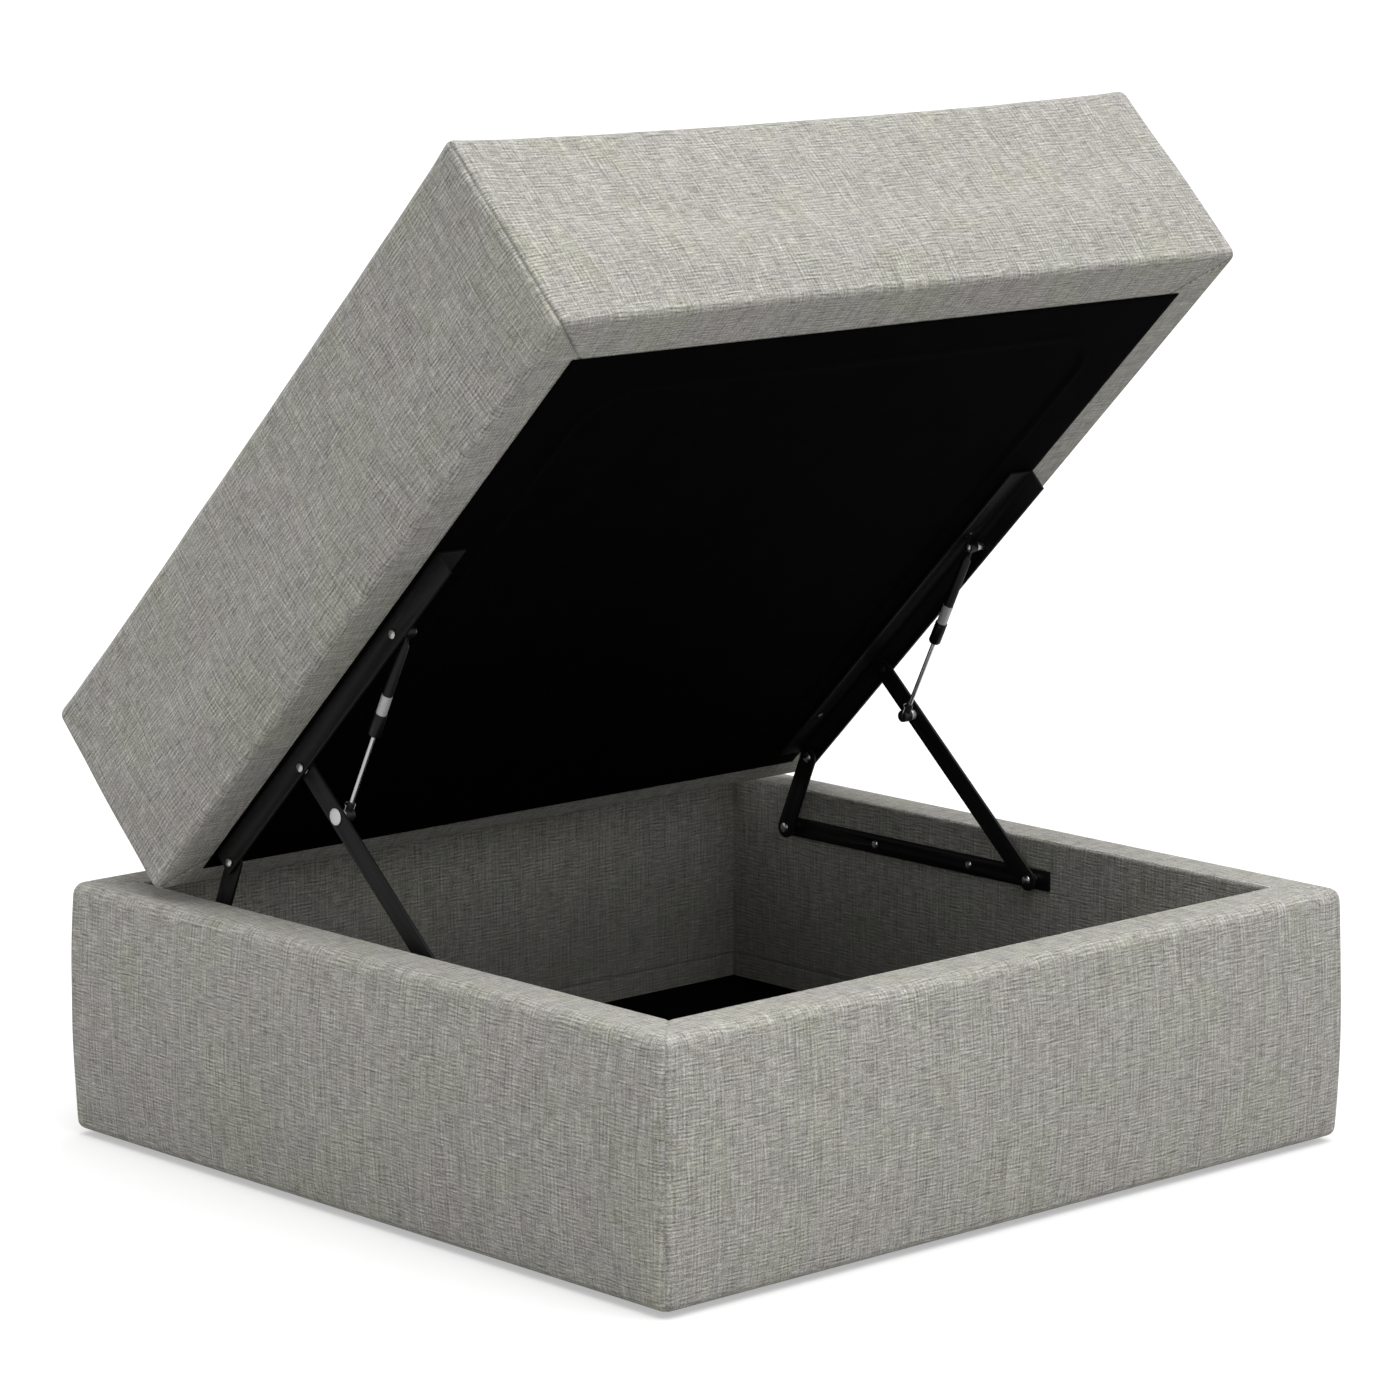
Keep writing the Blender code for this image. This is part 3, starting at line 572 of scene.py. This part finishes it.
class Cover:
    """A quad mesh in the making, with the cloth's own coordinates at each face corner."""

    def __init__(self):
        self.points = []
        self.faces = []
        self.weave = []

    def add_points(self, points):
        first = len(self.points)
        self.points.extend(tuple(p) for p in points)
        return list(range(first, len(self.points)))

    def add_face(self, corners, weave):
        self.faces.append(corners)
        self.weave.extend(weave)

    def add_strip(self, lower, upper, sides, lengths, half):
        """Faces between two closed loops. lengths are the loops' distances along the profile."""
        count = len(lower)
        for index in range(count):
            after = (index + 1) % count
            corners = (lower[index], lower[after], upper[after], upper[index])
            side = sides[index]
            axis = side % 2
            weave = []
            for corner, length in zip(corners, (lengths[0], lengths[0], lengths[1], lengths[1])):
                weave.append((self.points[corner][axis] + half[axis], length, float(side)))
            self.add_face(corners, weave)

    def build(self, name, material, place):
        piece = add_mesh_piece(name, self.points, self.faces, material, place)
        layer = piece.data.attributes.new("weave", "FLOAT_VECTOR", "CORNER")
        layer.data.foreach_set("vector", np.array(self.weave, np.float32).ravel())
        return piece


def loop_points(border, stops_x, stops_y, half, inset, corner, height):
    """A rounded rectangle through the lattice's border columns, inset from the full size."""
    tight = max(corner - inset, TIGHT_CORNER)
    flat_x, pull_x = round_parts(np.array([stops_x[i] for i, j in border]))
    flat_y, pull_y = round_parts(np.array([stops_y[j] for i, j in border]))
    length = np.hypot(pull_x, pull_y)
    x = flat_x * (half[0] - inset - tight) + tight * pull_x / length
    y = flat_y * (half[1] - inset - tight) + tight * pull_y / length
    return np.column_stack((x, y, np.full(len(x), height)))


def arc(centre, radius, start, end, steps):
    angles = np.radians(np.linspace(start, end, steps + 1))
    return [(centre[0] + radius * math.cos(a), centre[1] + radius * math.sin(a)) for a in angles]


def straight(start, end):
    """The points between two ends of a line, about a cloth step apart."""
    count = max(1, round(math.dist(start, end) / CLOTH_STEP))
    first, way = np.array(start), np.array(end) - np.array(start)
    return [tuple(first + way * k / count) for k in range(1, count)]


def profile_lengths(profile):
    lengths = [0.0]
    for before, after in zip(profile, profile[1:]):
        lengths.append(lengths[-1] + math.dist(before, after))
    return lengths


def coordinates(piece):
    found = np.empty(len(piece.data.vertices) * 3, np.float32)
    piece.data.vertices.foreach_get("co", found)
    return found.reshape(-1, 3).astype(float)


def set_coordinates(piece, points):
    piece.data.vertices.foreach_set("co", points.astype(np.float32).ravel())
    piece.data.update()


def ruffle(piece, share):
    """Slow unevenness of the padding, at most RUFFLE, where share is 1."""
    points = coordinates(piece)
    normals = np.array([v.normal for v in piece.data.vertices])
    waves = np.array([noise.noise(Vector(p) / RUFFLE_LENGTH) for p in points])
    set_coordinates(piece, points + normals * (waves * share * RUFFLE)[:, None])


def blow_up(piece, pinned, cap):
    """Cloth simulation with pressure. No point moves further than its cap, and pinned ones stay."""
    start = coordinates(piece)
    held = piece.vertex_groups.new(name="held")
    for index, weight in enumerate(pinned):
        if weight > 0:
            held.add([index], float(weight), "REPLACE")
    cloth = piece.modifiers.new("cloth", "CLOTH")
    cloth.settings.use_pressure = True
    cloth.settings.uniform_pressure_force = PRESSURE
    cloth.settings.vertex_group_mass = held.name
    cloth.settings.effector_weights.gravity = 0
    cloth.collision_settings.use_collision = False
    cloth.point_cache.frame_end = SIM_FRAMES
    for step in range(1, SIM_FRAMES + 1):
        bpy.context.scene.frame_set(step)
    shaped = piece.evaluated_get(bpy.context.evaluated_depsgraph_get())
    moved = np.array([v.co for v in shaped.data.vertices], float)
    piece.modifiers.remove(cloth)
    piece.vertex_groups.clear()
    bpy.context.scene.frame_set(1)
    shift = moved - start
    length = np.linalg.norm(shift, axis=1)
    kept = cap * np.tanh(length / cap) / np.maximum(length, 1e-9)
    set_coordinates(piece, start + shift * kept[:, None])


def apply_modifiers(piece):
    graph = bpy.context.evaluated_depsgraph_get()
    graph.update()
    shaped = bpy.data.meshes.new_from_object(piece.evaluated_get(graph))
    piece.modifiers.clear()
    piece.data = shaped


def subdivide(piece):
    piece.modifiers.new("smooth", "SUBSURF").levels = 1
    apply_modifiers(piece)


def thicken(piece):
    shell = piece.modifiers.new("thickness", "SOLIDIFY")
    shell.thickness = COVER_THICKNESS
    shell.offset = -1.0
    apply_modifiers(piece)


def press_seams(piece, distance, depth, shade, painted_shade=0.0):
    """Sinks a narrow groove along seams, and stores their shade. distance is each point's way to one.
    painted_shade is more painted shade, point by point."""
    points = coordinates(piece)
    normals = np.array([v.normal for v in piece.data.vertices])
    waves = np.array([noise.noise(Vector(p) / RUFFLE_LENGTH * SEAM_FINENESS) for p in points])
    uneven = 1 + SEAM_UNEVENNESS * waves
    sunk = depth * uneven * np.exp(-(distance / SEAM_HALF) ** 2)
    set_coordinates(piece, points - normals * sunk[:, None])
    # Shade along the seams, plus any painted shade given point by point
    dark = shade * uneven * np.exp(-(distance / SEAM_SHADE) ** 2) + painted_shade
    layer = piece.data.attributes.new("seam_and_painted_shade", "FLOAT", "POINT")
    layer.data.foreach_set("value", np.clip(dark, 0, 1).astype(np.float32))


def corner_distance(points, half):
    """Distance across the diagonal mitre through the nearest corner."""
    from_corner = half[:2] - np.abs(points[:, :2])
    return np.abs(from_corner[:, 0] - from_corner[:, 1]) / math.sqrt(2)


def lid_shape(points):
    """Crowns the lid's faces and pulls its top edges in between the corners."""
    across = points[:, 0] / LID_HALF[0]
    along = points[:, 1] / LID_HALF[1]
    up = points[:, 2] / LID_HEIGHT
    slack_x = np.clip(1 - across ** 2, 0, 1)
    slack_y = np.clip(1 - along ** 2, 0, 1)
    edge_x, edge_y = np.abs(across) ** LID_EDGE_POWER, np.abs(along) ** LID_EDGE_POWER
    top = smooth_step((up - LID_TOP_FROM) / (1 - LID_TOP_FROM))
    belly = np.sin(math.pi * np.clip(up, 0, 1)) ** LID_BELLY_POWER
    dip_x, dip_y = slack_x ** LID_DIP_POWER, slack_y ** LID_DIP_POWER
    crown_x, crown_y = slack_x ** LID_CROWN_POWER, slack_y ** LID_CROWN_POWER
    moved = points.copy()
    crown = LID_TOP_CROWN * np.sqrt(slack_x * slack_y)
    dip = LID_END_DIP * dip_x * edge_y + LID_SIDE_EDGE_DIP * dip_y * edge_x
    tip = LID_TIP_DROP * (np.abs(across) * np.abs(along)) ** LID_TIP_POWER
    moved[:, 2] += top * (crown - dip - tip)
    side_x = LID_SIDE_CROWN * belly * crown_y - LID_SIDE_DIP * top ** 3 * dip_y
    side_y = LID_SIDE_CROWN * belly * crown_x - LID_SIDE_DIP * top ** 3 * dip_x
    moved[:, 0] += np.sign(across) * np.abs(across) ** LID_SIDE_POWER * side_x
    moved[:, 1] += np.sign(along) * np.abs(along) ** LID_SIDE_POWER * side_y
    return moved


def lid_mesh(looks):
    """One cover over the cushion: rim under the lid, rolled lower edge, four sides and the top."""
    stops_x, stops_y = stops(LID_HALF[0]), stops(LID_HALF[1])
    border, sides = perimeter(stops_x, stops_y)
    cover = Cover()

    foot = LID_FOOT_ROUND
    profile = [(LID_RIM_WIDTH, 0.0)] + straight((LID_RIM_WIDTH, 0.0), (foot, 0.0))
    profile += arc((foot, foot), foot, 270, 180, 2 * ARC_STEPS)
    profile += straight((0.0, foot), (0.0, LID_HEIGHT - LID_ROUND))
    loops = []
    for inset, height in profile:
        points = loop_points(border, stops_x, stops_y, LID_HALF, inset, LID_ROUND, height)
        loops.append(cover.add_points(points))
    lengths = profile_lengths(profile)
    for row in range(len(loops) - 1):
        cover.add_strip(loops[row], loops[row + 1], sides, lengths[row:row + 2], LID_HALF)

    above = {}
    flat_x, pull_x = round_parts(stops_x)
    flat_y, pull_y = round_parts(stops_y)
    inner = LID_HALF[:2] - LID_ROUND
    for k in range(ARC_STEPS + 1):
        pull_z = math.tan(math.pi / 4 * k / ARC_STEPS)
        cells = border
        if k == ARC_STEPS:
            cells = [(i, j) for i in range(len(stops_x)) for j in range(len(stops_y))]
        for i, j in cells:
            pull = Vector((pull_x[i], pull_y[j], pull_z)).normalized() * LID_ROUND
            point = (flat_x[i] * inner[0] + pull.x, flat_y[j] * inner[1] + pull.y,
                     LID_HEIGHT - LID_ROUND + pull.z)
            above[i, j, k] = cover.add_points([point])[0]
    start = lengths[-1] + math.dist(profile[-1], (0.0, LID_HEIGHT - LID_ROUND))
    rising = [[above[i, j, k] for i, j in border] for k in range(ARC_STEPS + 1)]
    cover.add_strip(loops[-1], rising[0], sides, (lengths[-1], start), LID_HALF)
    arc_length = LID_ROUND * math.pi / 4 / ARC_STEPS
    for k in range(ARC_STEPS):
        span = (start + k * arc_length, start + (k + 1) * arc_length)
        cover.add_strip(rising[k], rising[k + 1], sides, span, LID_HALF)
    for i in range(len(stops_x) - 1):
        for j in range(len(stops_y) - 1):
            corners = [above[i, j, ARC_STEPS], above[i + 1, j, ARC_STEPS],
                       above[i + 1, j + 1, ARC_STEPS], above[i, j + 1, ARC_STEPS]]
            weave = [(cover.points[c][0] + LID_HALF[0], cover.points[c][1] + LID_HALF[1] + start, 0.0)
                     for c in corners]
            cover.add_face(tuple(corners), weave)

    return cover.build("lid_upholstery", looks["linen"], LID_PLACE)


def build_lid_cover(looks):
    """The lid's cushion in its cover, with seams down its four corners."""
    piece = lid_mesh(looks)
    flat = coordinates(piece)
    set_coordinates(piece, lid_shape(flat))
    near_corner = corner_distance(flat, LID_HALF)
    on_side = flat[:, 2] < LID_HEIGHT - LID_ROUND / 2
    fade = 1 - smooth_step((flat[:, 2] - LID_HEIGHT + LID_SEAM_HOLD_TOP) / LID_SEAM_HOLD_FADE)
    seam_hold = LID_SEAM_HOLD * np.exp(-(near_corner / LID_SEAM_HOLD_HALF) ** 2) * on_side * fade
    low_hold = 1 - smooth_step((flat[:, 2] - LID_LOW_HOLD) / LID_LOW_HOLD_FADE)
    under = flat[:, 2] < LID_UNDERSIDE
    pinned = np.clip(np.maximum(seam_hold, low_hold) + under, 0, 1)
    share = np.abs(flat[:, :2] / LID_HALF[:2]).clip(0, 1).prod(1)
    blow_up(piece, pinned, LID_CAP * (1 - TIP_HOLD * share ** TIP_HOLD_POWER))
    ruffle(piece, 1 - low_hold)
    subdivide(piece)

    points = coordinates(piece)
    has_seam = points[:, 2] < LID_HEIGHT - LID_SEAM_STOP
    seams = np.where(has_seam, corner_distance(points, LID_HALF), 1.0)
    press_seams(piece, seams, *LID_SEAM)
    thicken(piece)
    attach(piece, "lid")
    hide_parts("lid_cover", "lid_foam")


def base_mesh(looks):
    """The base's cover: tucked under, up the padded sides, over the rim and down the lining."""
    stops_x, stops_y = stops(BASE_HALF[0]), stops(BASE_HALF[1])
    border, sides = perimeter(stops_x, stops_y)
    foot, top, inner = BASE_FOOT_ROUND, BASE_TOP_ROUND, BASE_INNER_ROUND
    profile = [(BASE_TUCK, 0.0)] + straight((BASE_TUCK, 0.0), (foot, 0.0))
    profile += arc((foot, foot), foot, 270, 180, ARC_STEPS + 1)
    profile += straight((0.0, foot), (0.0, BASE_HEIGHT - top))
    profile += arc((top, BASE_HEIGHT - top), top, 180, 90, ARC_STEPS + 2)
    profile += straight((top, BASE_HEIGHT), (BASE_WALL - inner, BASE_HEIGHT))
    profile += arc((BASE_WALL - inner, BASE_HEIGHT - inner), inner, 90, 0, ARC_STEPS)
    seam_rows = [(BASE_WALL, LINING_SEAM + offset) for offset in LINING_SEAM_ROWS]
    profile += straight((BASE_WALL, BASE_HEIGHT - inner), seam_rows[0]) + seam_rows
    profile += straight(seam_rows[-1], (BASE_WALL, LINING_END)) + [(BASE_WALL, LINING_END)]

    cover = Cover()
    loops = []
    for inset, height in profile:
        points = loop_points(border, stops_x, stops_y, BASE_HALF, inset, BASE_ROUND, height)
        loops.append(cover.add_points(points))
    lengths = profile_lengths(profile)
    for row in range(len(loops) - 1):
        cover.add_strip(loops[row], loops[row + 1], sides, lengths[row:row + 2], BASE_HALF)
    return cover.build("base_upholstery", looks["linen"], BASE_PLACE)


def build_base_cover(looks):
    """The base in its cover, padded outside and flat inside, with seams round its lining, and painted
    shade that darkens the lining towards the storage floor.
    """
    piece = base_mesh(looks)
    flat = coordinates(piece)
    outward = flat[:, :2] / BASE_HALF[:2]
    is_outer = np.abs(outward).max(1) > 1 - BASE_OUTER_DEPTH / BASE_HALF[0]
    rise = np.clip(flat[:, 2] / BASE_HEIGHT, 0, 1)
    belly = is_outer * np.sin(math.pi * rise) ** BASE_BELLY_POWER
    shaped = flat.copy()
    for axis, other in ((0, 1), (1, 0)):
        slack = np.clip(1 - outward[:, other] ** 2, 0, 1) ** BASE_SLACK_POWER
        pull = np.sign(outward[:, axis]) * np.abs(outward[:, axis]) ** BASE_SIDE_POWER
        shaped[:, axis] += pull * belly * (BASE_BULGE + BASE_SIDE_CROWN * slack)
    set_coordinates(piece, shaped)
    near_corner = corner_distance(flat, BASE_HALF)
    hold_corner = np.exp(-(near_corner / BASE_SEAM_HOLD_HALF) ** 2)
    above_foot = smooth_step((flat[:, 2] - BASE_LOW_HOLD) / BASE_HOLD_FADE)
    below_rim = smooth_step((BASE_HEIGHT - BASE_HIGH_HOLD - flat[:, 2]) / BASE_HOLD_FADE)
    hold_ends = 1 - above_foot * below_rim
    pinned = np.where(is_outer, np.maximum(hold_corner, hold_ends), 1.0)
    blow_up(piece, pinned, BASE_CAP)
    ruffle(piece, (1 - hold_ends) * is_outer)
    subdivide(piece)

    points = coordinates(piece)
    seams = corner_distance(points, BASE_HALF)
    lining = (np.abs(points[:, :2]) < BASE_HALF[:2] - BASE_WALL + LINING_MARGIN).all(1)
    seams = np.where(lining, np.minimum(seams, np.abs(points[:, 2] - LINING_SEAM)), seams)
    # Painted shade: the lining's colour darkens towards the storage floor
    low = 1 - smooth_step((points[:, 2] - FLOOR_TOP) / LINING_PAINTED_SHADE_HEIGHT)
    press_seams(piece, seams, *BASE_SEAM, LINING_PAINTED_SHADE * lining * low)
    thicken(piece)
    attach(piece, "base")
    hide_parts("base_cover", "base_padding")


# ---------------------------------------------------------------- black cloths and storage floor

def sheet_grid(name, low, high, step, height_at, material, place):
    """A thin closed cloth over a rectangle, whose height is a function of x and y."""
    count_x, count_y = (max(2, round((high[a] - low[a]) / step)) for a in (0, 1))
    xs, ys = np.linspace(low[0], high[0], count_x + 1), np.linspace(low[1], high[1], count_y + 1)
    points = [(x, y, height_at(x, y)) for x in xs for y in ys]
    row = count_y + 1
    corners = (0, row, row + 1, 1)
    cells = [i * row + j for i in range(count_x) for j in range(count_y)]
    faces = [tuple(cell + corner for corner in corners) for cell in cells]
    piece = add_mesh_piece(name, points, faces, material, place)
    shell = piece.modifiers.new("thickness", "SOLIDIFY")
    shell.thickness = SHEET_THICKNESS
    shell.offset = -1.0
    apply_modifiers(piece)
    return piece


def rounded_distance(x, y, half_x, half_y, corner):
    """Signed distance to a rounded rectangle's edge, negative inside."""
    out_x, out_y = abs(x) - half_x + corner, abs(y) - half_y + corner
    return math.hypot(max(out_x, 0), max(out_y, 0)) + min(max(out_x, out_y), 0) - corner


def build_lid_dust_cloth(looks):
    """Black cloth stapled over the lid's underside, printed through by the board's opening."""
    low, high = box_along("lid_dust_cloth", LID_AXES)
    low, high = low - LID_UNDER, high - LID_UNDER
    top = high[2]
    half_x, half_y = LID_HALF[0] - OPENING_MARGIN, LID_HALF[1] - OPENING_MARGIN

    def height_at(x, y):
        way = rounded_distance(x, y, half_x, half_y, OPENING_CORNER)
        ridge = math.exp(-((way - OPENING_STEP) / OPENING_RIDGE_HALF) ** 2)
        sunk = float(smooth_step(-way / OPENING_STEP + 0.5))
        return top - LID_SHEET_DROP - OPENING_RIDGE * ridge + OPENING_SINK * sunk

    piece = sheet_grid("lid_dust_sheet", low, high, LID_SHEET_CELL, height_at,
                       looks["black_cloth"], LID_PLACE)
    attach(piece, "lid")
    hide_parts("lid_dust_cloth")


def build_base_dust_cloth(looks):
    """Black cloth stapled under the base, a little slack inside its edge."""
    low, high = (Vector(corner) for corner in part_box("base_dust_cloth"))
    middle = (low + high) / 2

    def height_at(x, y):
        edge = min(high.x - middle.x - abs(x), high.y - middle.y - abs(y))
        return -BASE_SHEET_SAG * float(smooth_step(edge / BASE_SHEET_EDGE)) - BASE_SHEET_DROP

    place = Matrix.Translation((middle.x, middle.y, high.z))
    span = (high - low) / 2
    piece = sheet_grid("base_dust_sheet", (-span.x, -span.y), (span.x, span.y), BASE_SHEET_CELL,
                       height_at, looks["black_cloth"], place)
    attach(piece, "base")
    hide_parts("base_dust_cloth")


# ---------------------------------------------------------------- hinge details

def box_centre(node):
    low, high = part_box(node)
    return (low + high) / 2


def strut_axes(side):
    """The strut at rest: Z from the eye on the lid to the eye on the long arm, X across."""
    upper, lower = box_centre(side + "_strut_upper_stud"), box_centre(side + "_strut_lower_stud")
    along = lower - upper
    along.x = 0.0
    along.normalize()
    across = Vector((1.0, 0.0, 0.0))
    return across, along.cross(across), along


def build_strut_label(side, looks):
    """The plain silver band round the cylinder, just above its end cap."""
    axes = strut_axes(side)
    origin = box_centre(side + "_strut_upper_stud")
    origin.x = box_centre(side + "_strut_cylinder").x
    local = node_points(side + "_strut_cylinder") - np.array(origin)
    reach = (local @ np.array(axes[2])).max()
    cap_start = reach - STRUT_CAP_LENGTH
    at_cap = np.abs(local @ np.array(axes[2]) - cap_start) < LABEL_RISE
    radius = np.hypot(local[at_cap, 0], local[at_cap] @ np.array(axes[1])).min()
    low, high = cap_start - LABEL_LENGTH, cap_start - LABEL_RISE
    profile = [(low, radius - LABEL_RISE), (high, radius - LABEL_RISE), (high, radius + LABEL_RISE)]
    profile.append((low, radius + LABEL_RISE))
    piece = turned_piece(side + "_strut_label", profile[::-1], looks["label"],
                         frame_matrix(axes, origin), ring=True)
    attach(piece, side + "_strut_cylinder")


def build_rod_socket(side, looks):
    """The black socket over the rod's eye, its collar on the rod and the spring clip round them."""
    across, sideways, along = strut_axes(side)
    origin = box_centre(side + "_strut_lower_stud")
    origin.x = box_centre(side + "_strut_cylinder").x
    crosswise = frame_matrix((along, sideways, -across), origin)
    barrel = round_barrel(-SOCKET_HALF, SOCKET_HALF, SOCKET_RADIUS, SOCKET_EDGE)
    socket = turned_piece(side + "_rod_socket", barrel, looks["plastic"], crosswise)
    upward = frame_matrix((across, -sideways, -along), origin)
    neck = round_barrel(SOCKET_RADIUS / 2, COLLAR_REACH, COLLAR_RADIUS, COLLAR_EDGE)
    collar = turned_piece(side + "_rod_collar", neck, looks["plastic"], upward)
    clip = clip_wire(side + "_rod_clip", looks["zinc"], upward)
    for piece in (socket, collar, clip):
        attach(piece, side + "_strut_rod")


def clip_wire(name, material, place):
    """A bent spring wire: half round the collar, with two legs down the socket's flat faces."""
    spread = SOCKET_HALF + CLIP_WIRE
    bend = arc((0.0, 0.0), spread, 0, 180, 2 * ARC_STEPS)
    route = [(spread, 0.0, -SOCKET_RADIUS / 2)] + [(x, y, CLIP_HEIGHT) for x, y in bend]
    route.append((-spread, 0.0, -SOCKET_RADIUS / 2))
    curve = bpy.data.curves.new(name, "CURVE")
    curve.dimensions = "3D"
    curve.bevel_depth = CLIP_WIRE
    curve.bevel_resolution = 3
    curve.use_fill_caps = True
    spline = curve.splines.new("POLY")
    spline.points.add(len(route) - 1)
    for point, spot in zip(spline.points, route):
        point.co = (*spot, 1.0)
    curve.materials.append(material)
    piece = bpy.data.objects.new(name, curve)
    bpy.context.scene.collection.objects.link(piece)
    piece.matrix_world = place
    return piece


def screw_height(x, y):
    """Height of a pan head with a cross recess over its seat."""
    share = min(math.hypot(x, y) / SCREW_HEAD, 1.0)
    head = SCREW_HEAD_HEIGHT * (1 - share ** SCREW_FLATNESS) ** SCREW_SHOULDER
    along, aside = max(abs(x), abs(y)), min(abs(x), abs(y))
    in_slot = 1 - smooth_step(aside / RECESS_HALF - 0.5)
    in_reach = 1 - smooth_step((along / RECESS_REACH - RECESS_END_FROM) / RECESS_END)
    return head - RECESS_DEPTH * float(in_slot * in_reach)


def build_rail_screw(side, sign, label, looks):
    """A cross-head screw in the rail on the base's wall."""
    node = side + "_base_screw_" + label
    rings, steps = SCREW_RINGS, SCREW_STEPS
    points = [(0.0, 0.0, screw_height(0.0, 0.0))]
    for ring in range(1, rings + 1):
        radius = SCREW_HEAD * ring / rings
        for step in range(steps):
            angle = 2 * math.pi * step / steps
            x, y = radius * math.cos(angle), radius * math.sin(angle)
            points.append((x, y, screw_height(x, y)))
    faces = [(0, 1 + step, 1 + (step + 1) % steps) for step in range(steps)]
    for ring in range(1, rings):
        low, high = 1 + (ring - 1) * steps, 1 + ring * steps
        for step in range(steps):
            after = (step + 1) % steps
            faces.append((low + step, high + step, high + after, low + after))
    faces.append(tuple(reversed(range(1 + (rings - 1) * steps, 1 + rings * steps))))
    seat = box_centre(node)
    seat.x = sign * (min(abs(corner.x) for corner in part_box(node)) + SCREW_HEAD_HEIGHT)
    axes = (Vector((0, -sign, 0)), Vector((0, 0, 1)), Vector((-sign, 0, 0)))
    piece = add_mesh_piece(node + "_head", points, faces, looks["zinc"], frame_matrix(axes, seat))
    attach(piece, "base")
    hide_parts(node)


# ---------------------------------------------------------------- frame nodes that stay

def dress_frame_nodes(looks):
    """Gives each frame node that stays its material, and the hard ones a small edge radius."""
    slots = {row["node"]: row["material_slot"] for row in frame["record"]["subparts"]}
    for name, piece in frame["nodes"].items():
        if piece.hide_render:
            continue
        look = slots[name]
        if name.endswith("lower_stud"):
            look = "bright_zinc"
        elif "_base_rivet_" in name:
            look = "zinc"
        piece.data.materials.clear()
        piece.data.materials.append(looks[look])
        if slots[name] in ("black_steel", "zinc", "strut", "chrome", "plastic"):
            weld = piece.modifiers.new("weld", "WELD")
            weld.merge_threshold = WELD_REACH
            edge = piece.modifiers.new("edge", "BEVEL")
            edge.width = EDGE_WIDTH
            edge.segments = 2
            edge.limit_method = "ANGLE"
            edge.angle_limit = SHARP_ANGLE
            edge.harden_normals = True
            piece.data.shade_smooth()


# ---------------------------------------------------------------- stage

def build_stage():
    mesh = bpy.data.meshes.new("floor")
    bm = bmesh.new()
    bmesh.ops.create_grid(bm, x_segments=2, y_segments=2, size=FLOOR_HALF)
    bm.to_mesh(mesh)
    bm.free()
    floor = bpy.data.objects.new("floor", mesh)
    bpy.context.scene.collection.objects.link(floor)
    floor.location.z = CAD_BOX[0].z - FLOOR_GAP
    mesh.materials.append(floor_material())


def floor_material():
    """White where it is seen, and a mid grey for the light that it throws back at the object."""
    material, tree, shader = start_material("pale_floor", Roughness=0.9)
    seen = add_node(tree, "ShaderNodeLightPath").outputs["Is Camera Ray"]
    tone = maths(tree, "MULTIPLY_ADD", seen, FLOOR_SEEN_TONE, FLOOR_TONE)
    glow = maths(tree, "MULTIPLY", seen, FLOOR_GLOW)
    grey = add_node(tree, "ShaderNodeCombineColor", {"Red": tone, "Green": tone, "Blue": tone})
    tree.links.new(grey.outputs[0], shader.inputs["Base Color"])
    shader.inputs["Emission Color"].default_value = (1.0, 1.0, 1.0, 1.0)
    tree.links.new(glow, shader.inputs["Emission Strength"])
    shader.inputs["Specular IOR Level"].default_value = 0.0
    return material


def add_sun(name, azimuth, elevation, strength, spread):
    """A soft light from a direction given like a view's azimuth and elevation, in degrees."""
    lamp = bpy.data.lights.new(name, "SUN")
    lamp.energy = strength
    lamp.angle = math.radians(spread)
    holder = bpy.data.objects.new(name, lamp)
    bpy.context.scene.collection.objects.link(holder)
    holder.rotation_mode = "QUATERNION"
    back = back_vector(math.radians(azimuth), math.radians(elevation))
    holder.rotation_quaternion = back.to_track_quat("Z", "Y")


def back_vector(azimuth, elevation):
    """From what is looked at towards the viewer."""
    flat = math.cos(elevation)
    return Vector((math.sin(azimuth) * flat, -math.cos(azimuth) * flat, math.sin(elevation)))


def build_lights():
    add_sun("sky_light", *SKY_LIGHT)
    add_sun("front_light", *FRONT_LIGHT)
    world = bpy.data.worlds.new("studio")
    bpy.context.scene.world = world
    world.use_nodes = True
    tree = world.node_tree
    tree.nodes.clear()
    seen = add_node(tree, "ShaderNodeLightPath").outputs["Is Camera Ray"]
    fill = add_node(tree, "ShaderNodeBackground", {"Color": (1, 1, 1, 1), "Strength": FILL_STRENGTH})
    white = add_node(tree, "ShaderNodeBackground", {"Color": (1, 1, 1, 1), "Strength": 1.0})
    mixed = add_node(tree, "ShaderNodeMixShader", {0: seen, 1: fill.outputs[0], 2: white.outputs[0]})
    add_node(tree, "ShaderNodeOutputWorld", {"Surface": mixed.outputs[0]})
    bpy.context.scene.view_settings.view_transform = "Standard"


def build_camera():
    data = bpy.data.cameras.new("camera")
    data.lens = VIEW_LENS
    data.clip_end = VIEW_CLIP
    camera = bpy.data.objects.new("camera", data)
    bpy.context.scene.collection.objects.link(camera)
    back = back_vector(VIEW_AZIMUTH, VIEW_ELEVATION)
    camera.location = VIEW_AIM + VIEW_DISTANCE * back
    camera.rotation_mode = "QUATERNION"
    camera.rotation_quaternion = back.to_track_quat("Z", "Y")
    bpy.context.scene.camera = camera


def build_everything():
    build_camera()
    build_stage()
    build_lights()
    looks = make_looks()
    build_lid_cover(looks)
    build_base_cover(looks)
    build_lid_dust_cloth(looks)
    build_base_dust_cloth(looks)
    for side, sign in (("left", -1), ("right", 1)):
        build_strut_label(side, looks)
        build_rod_socket(side, looks)
        for label in ("front", "rear"):
            build_rail_screw(side, sign, label, looks)
    dress_frame_nodes(looks)


build_everything()
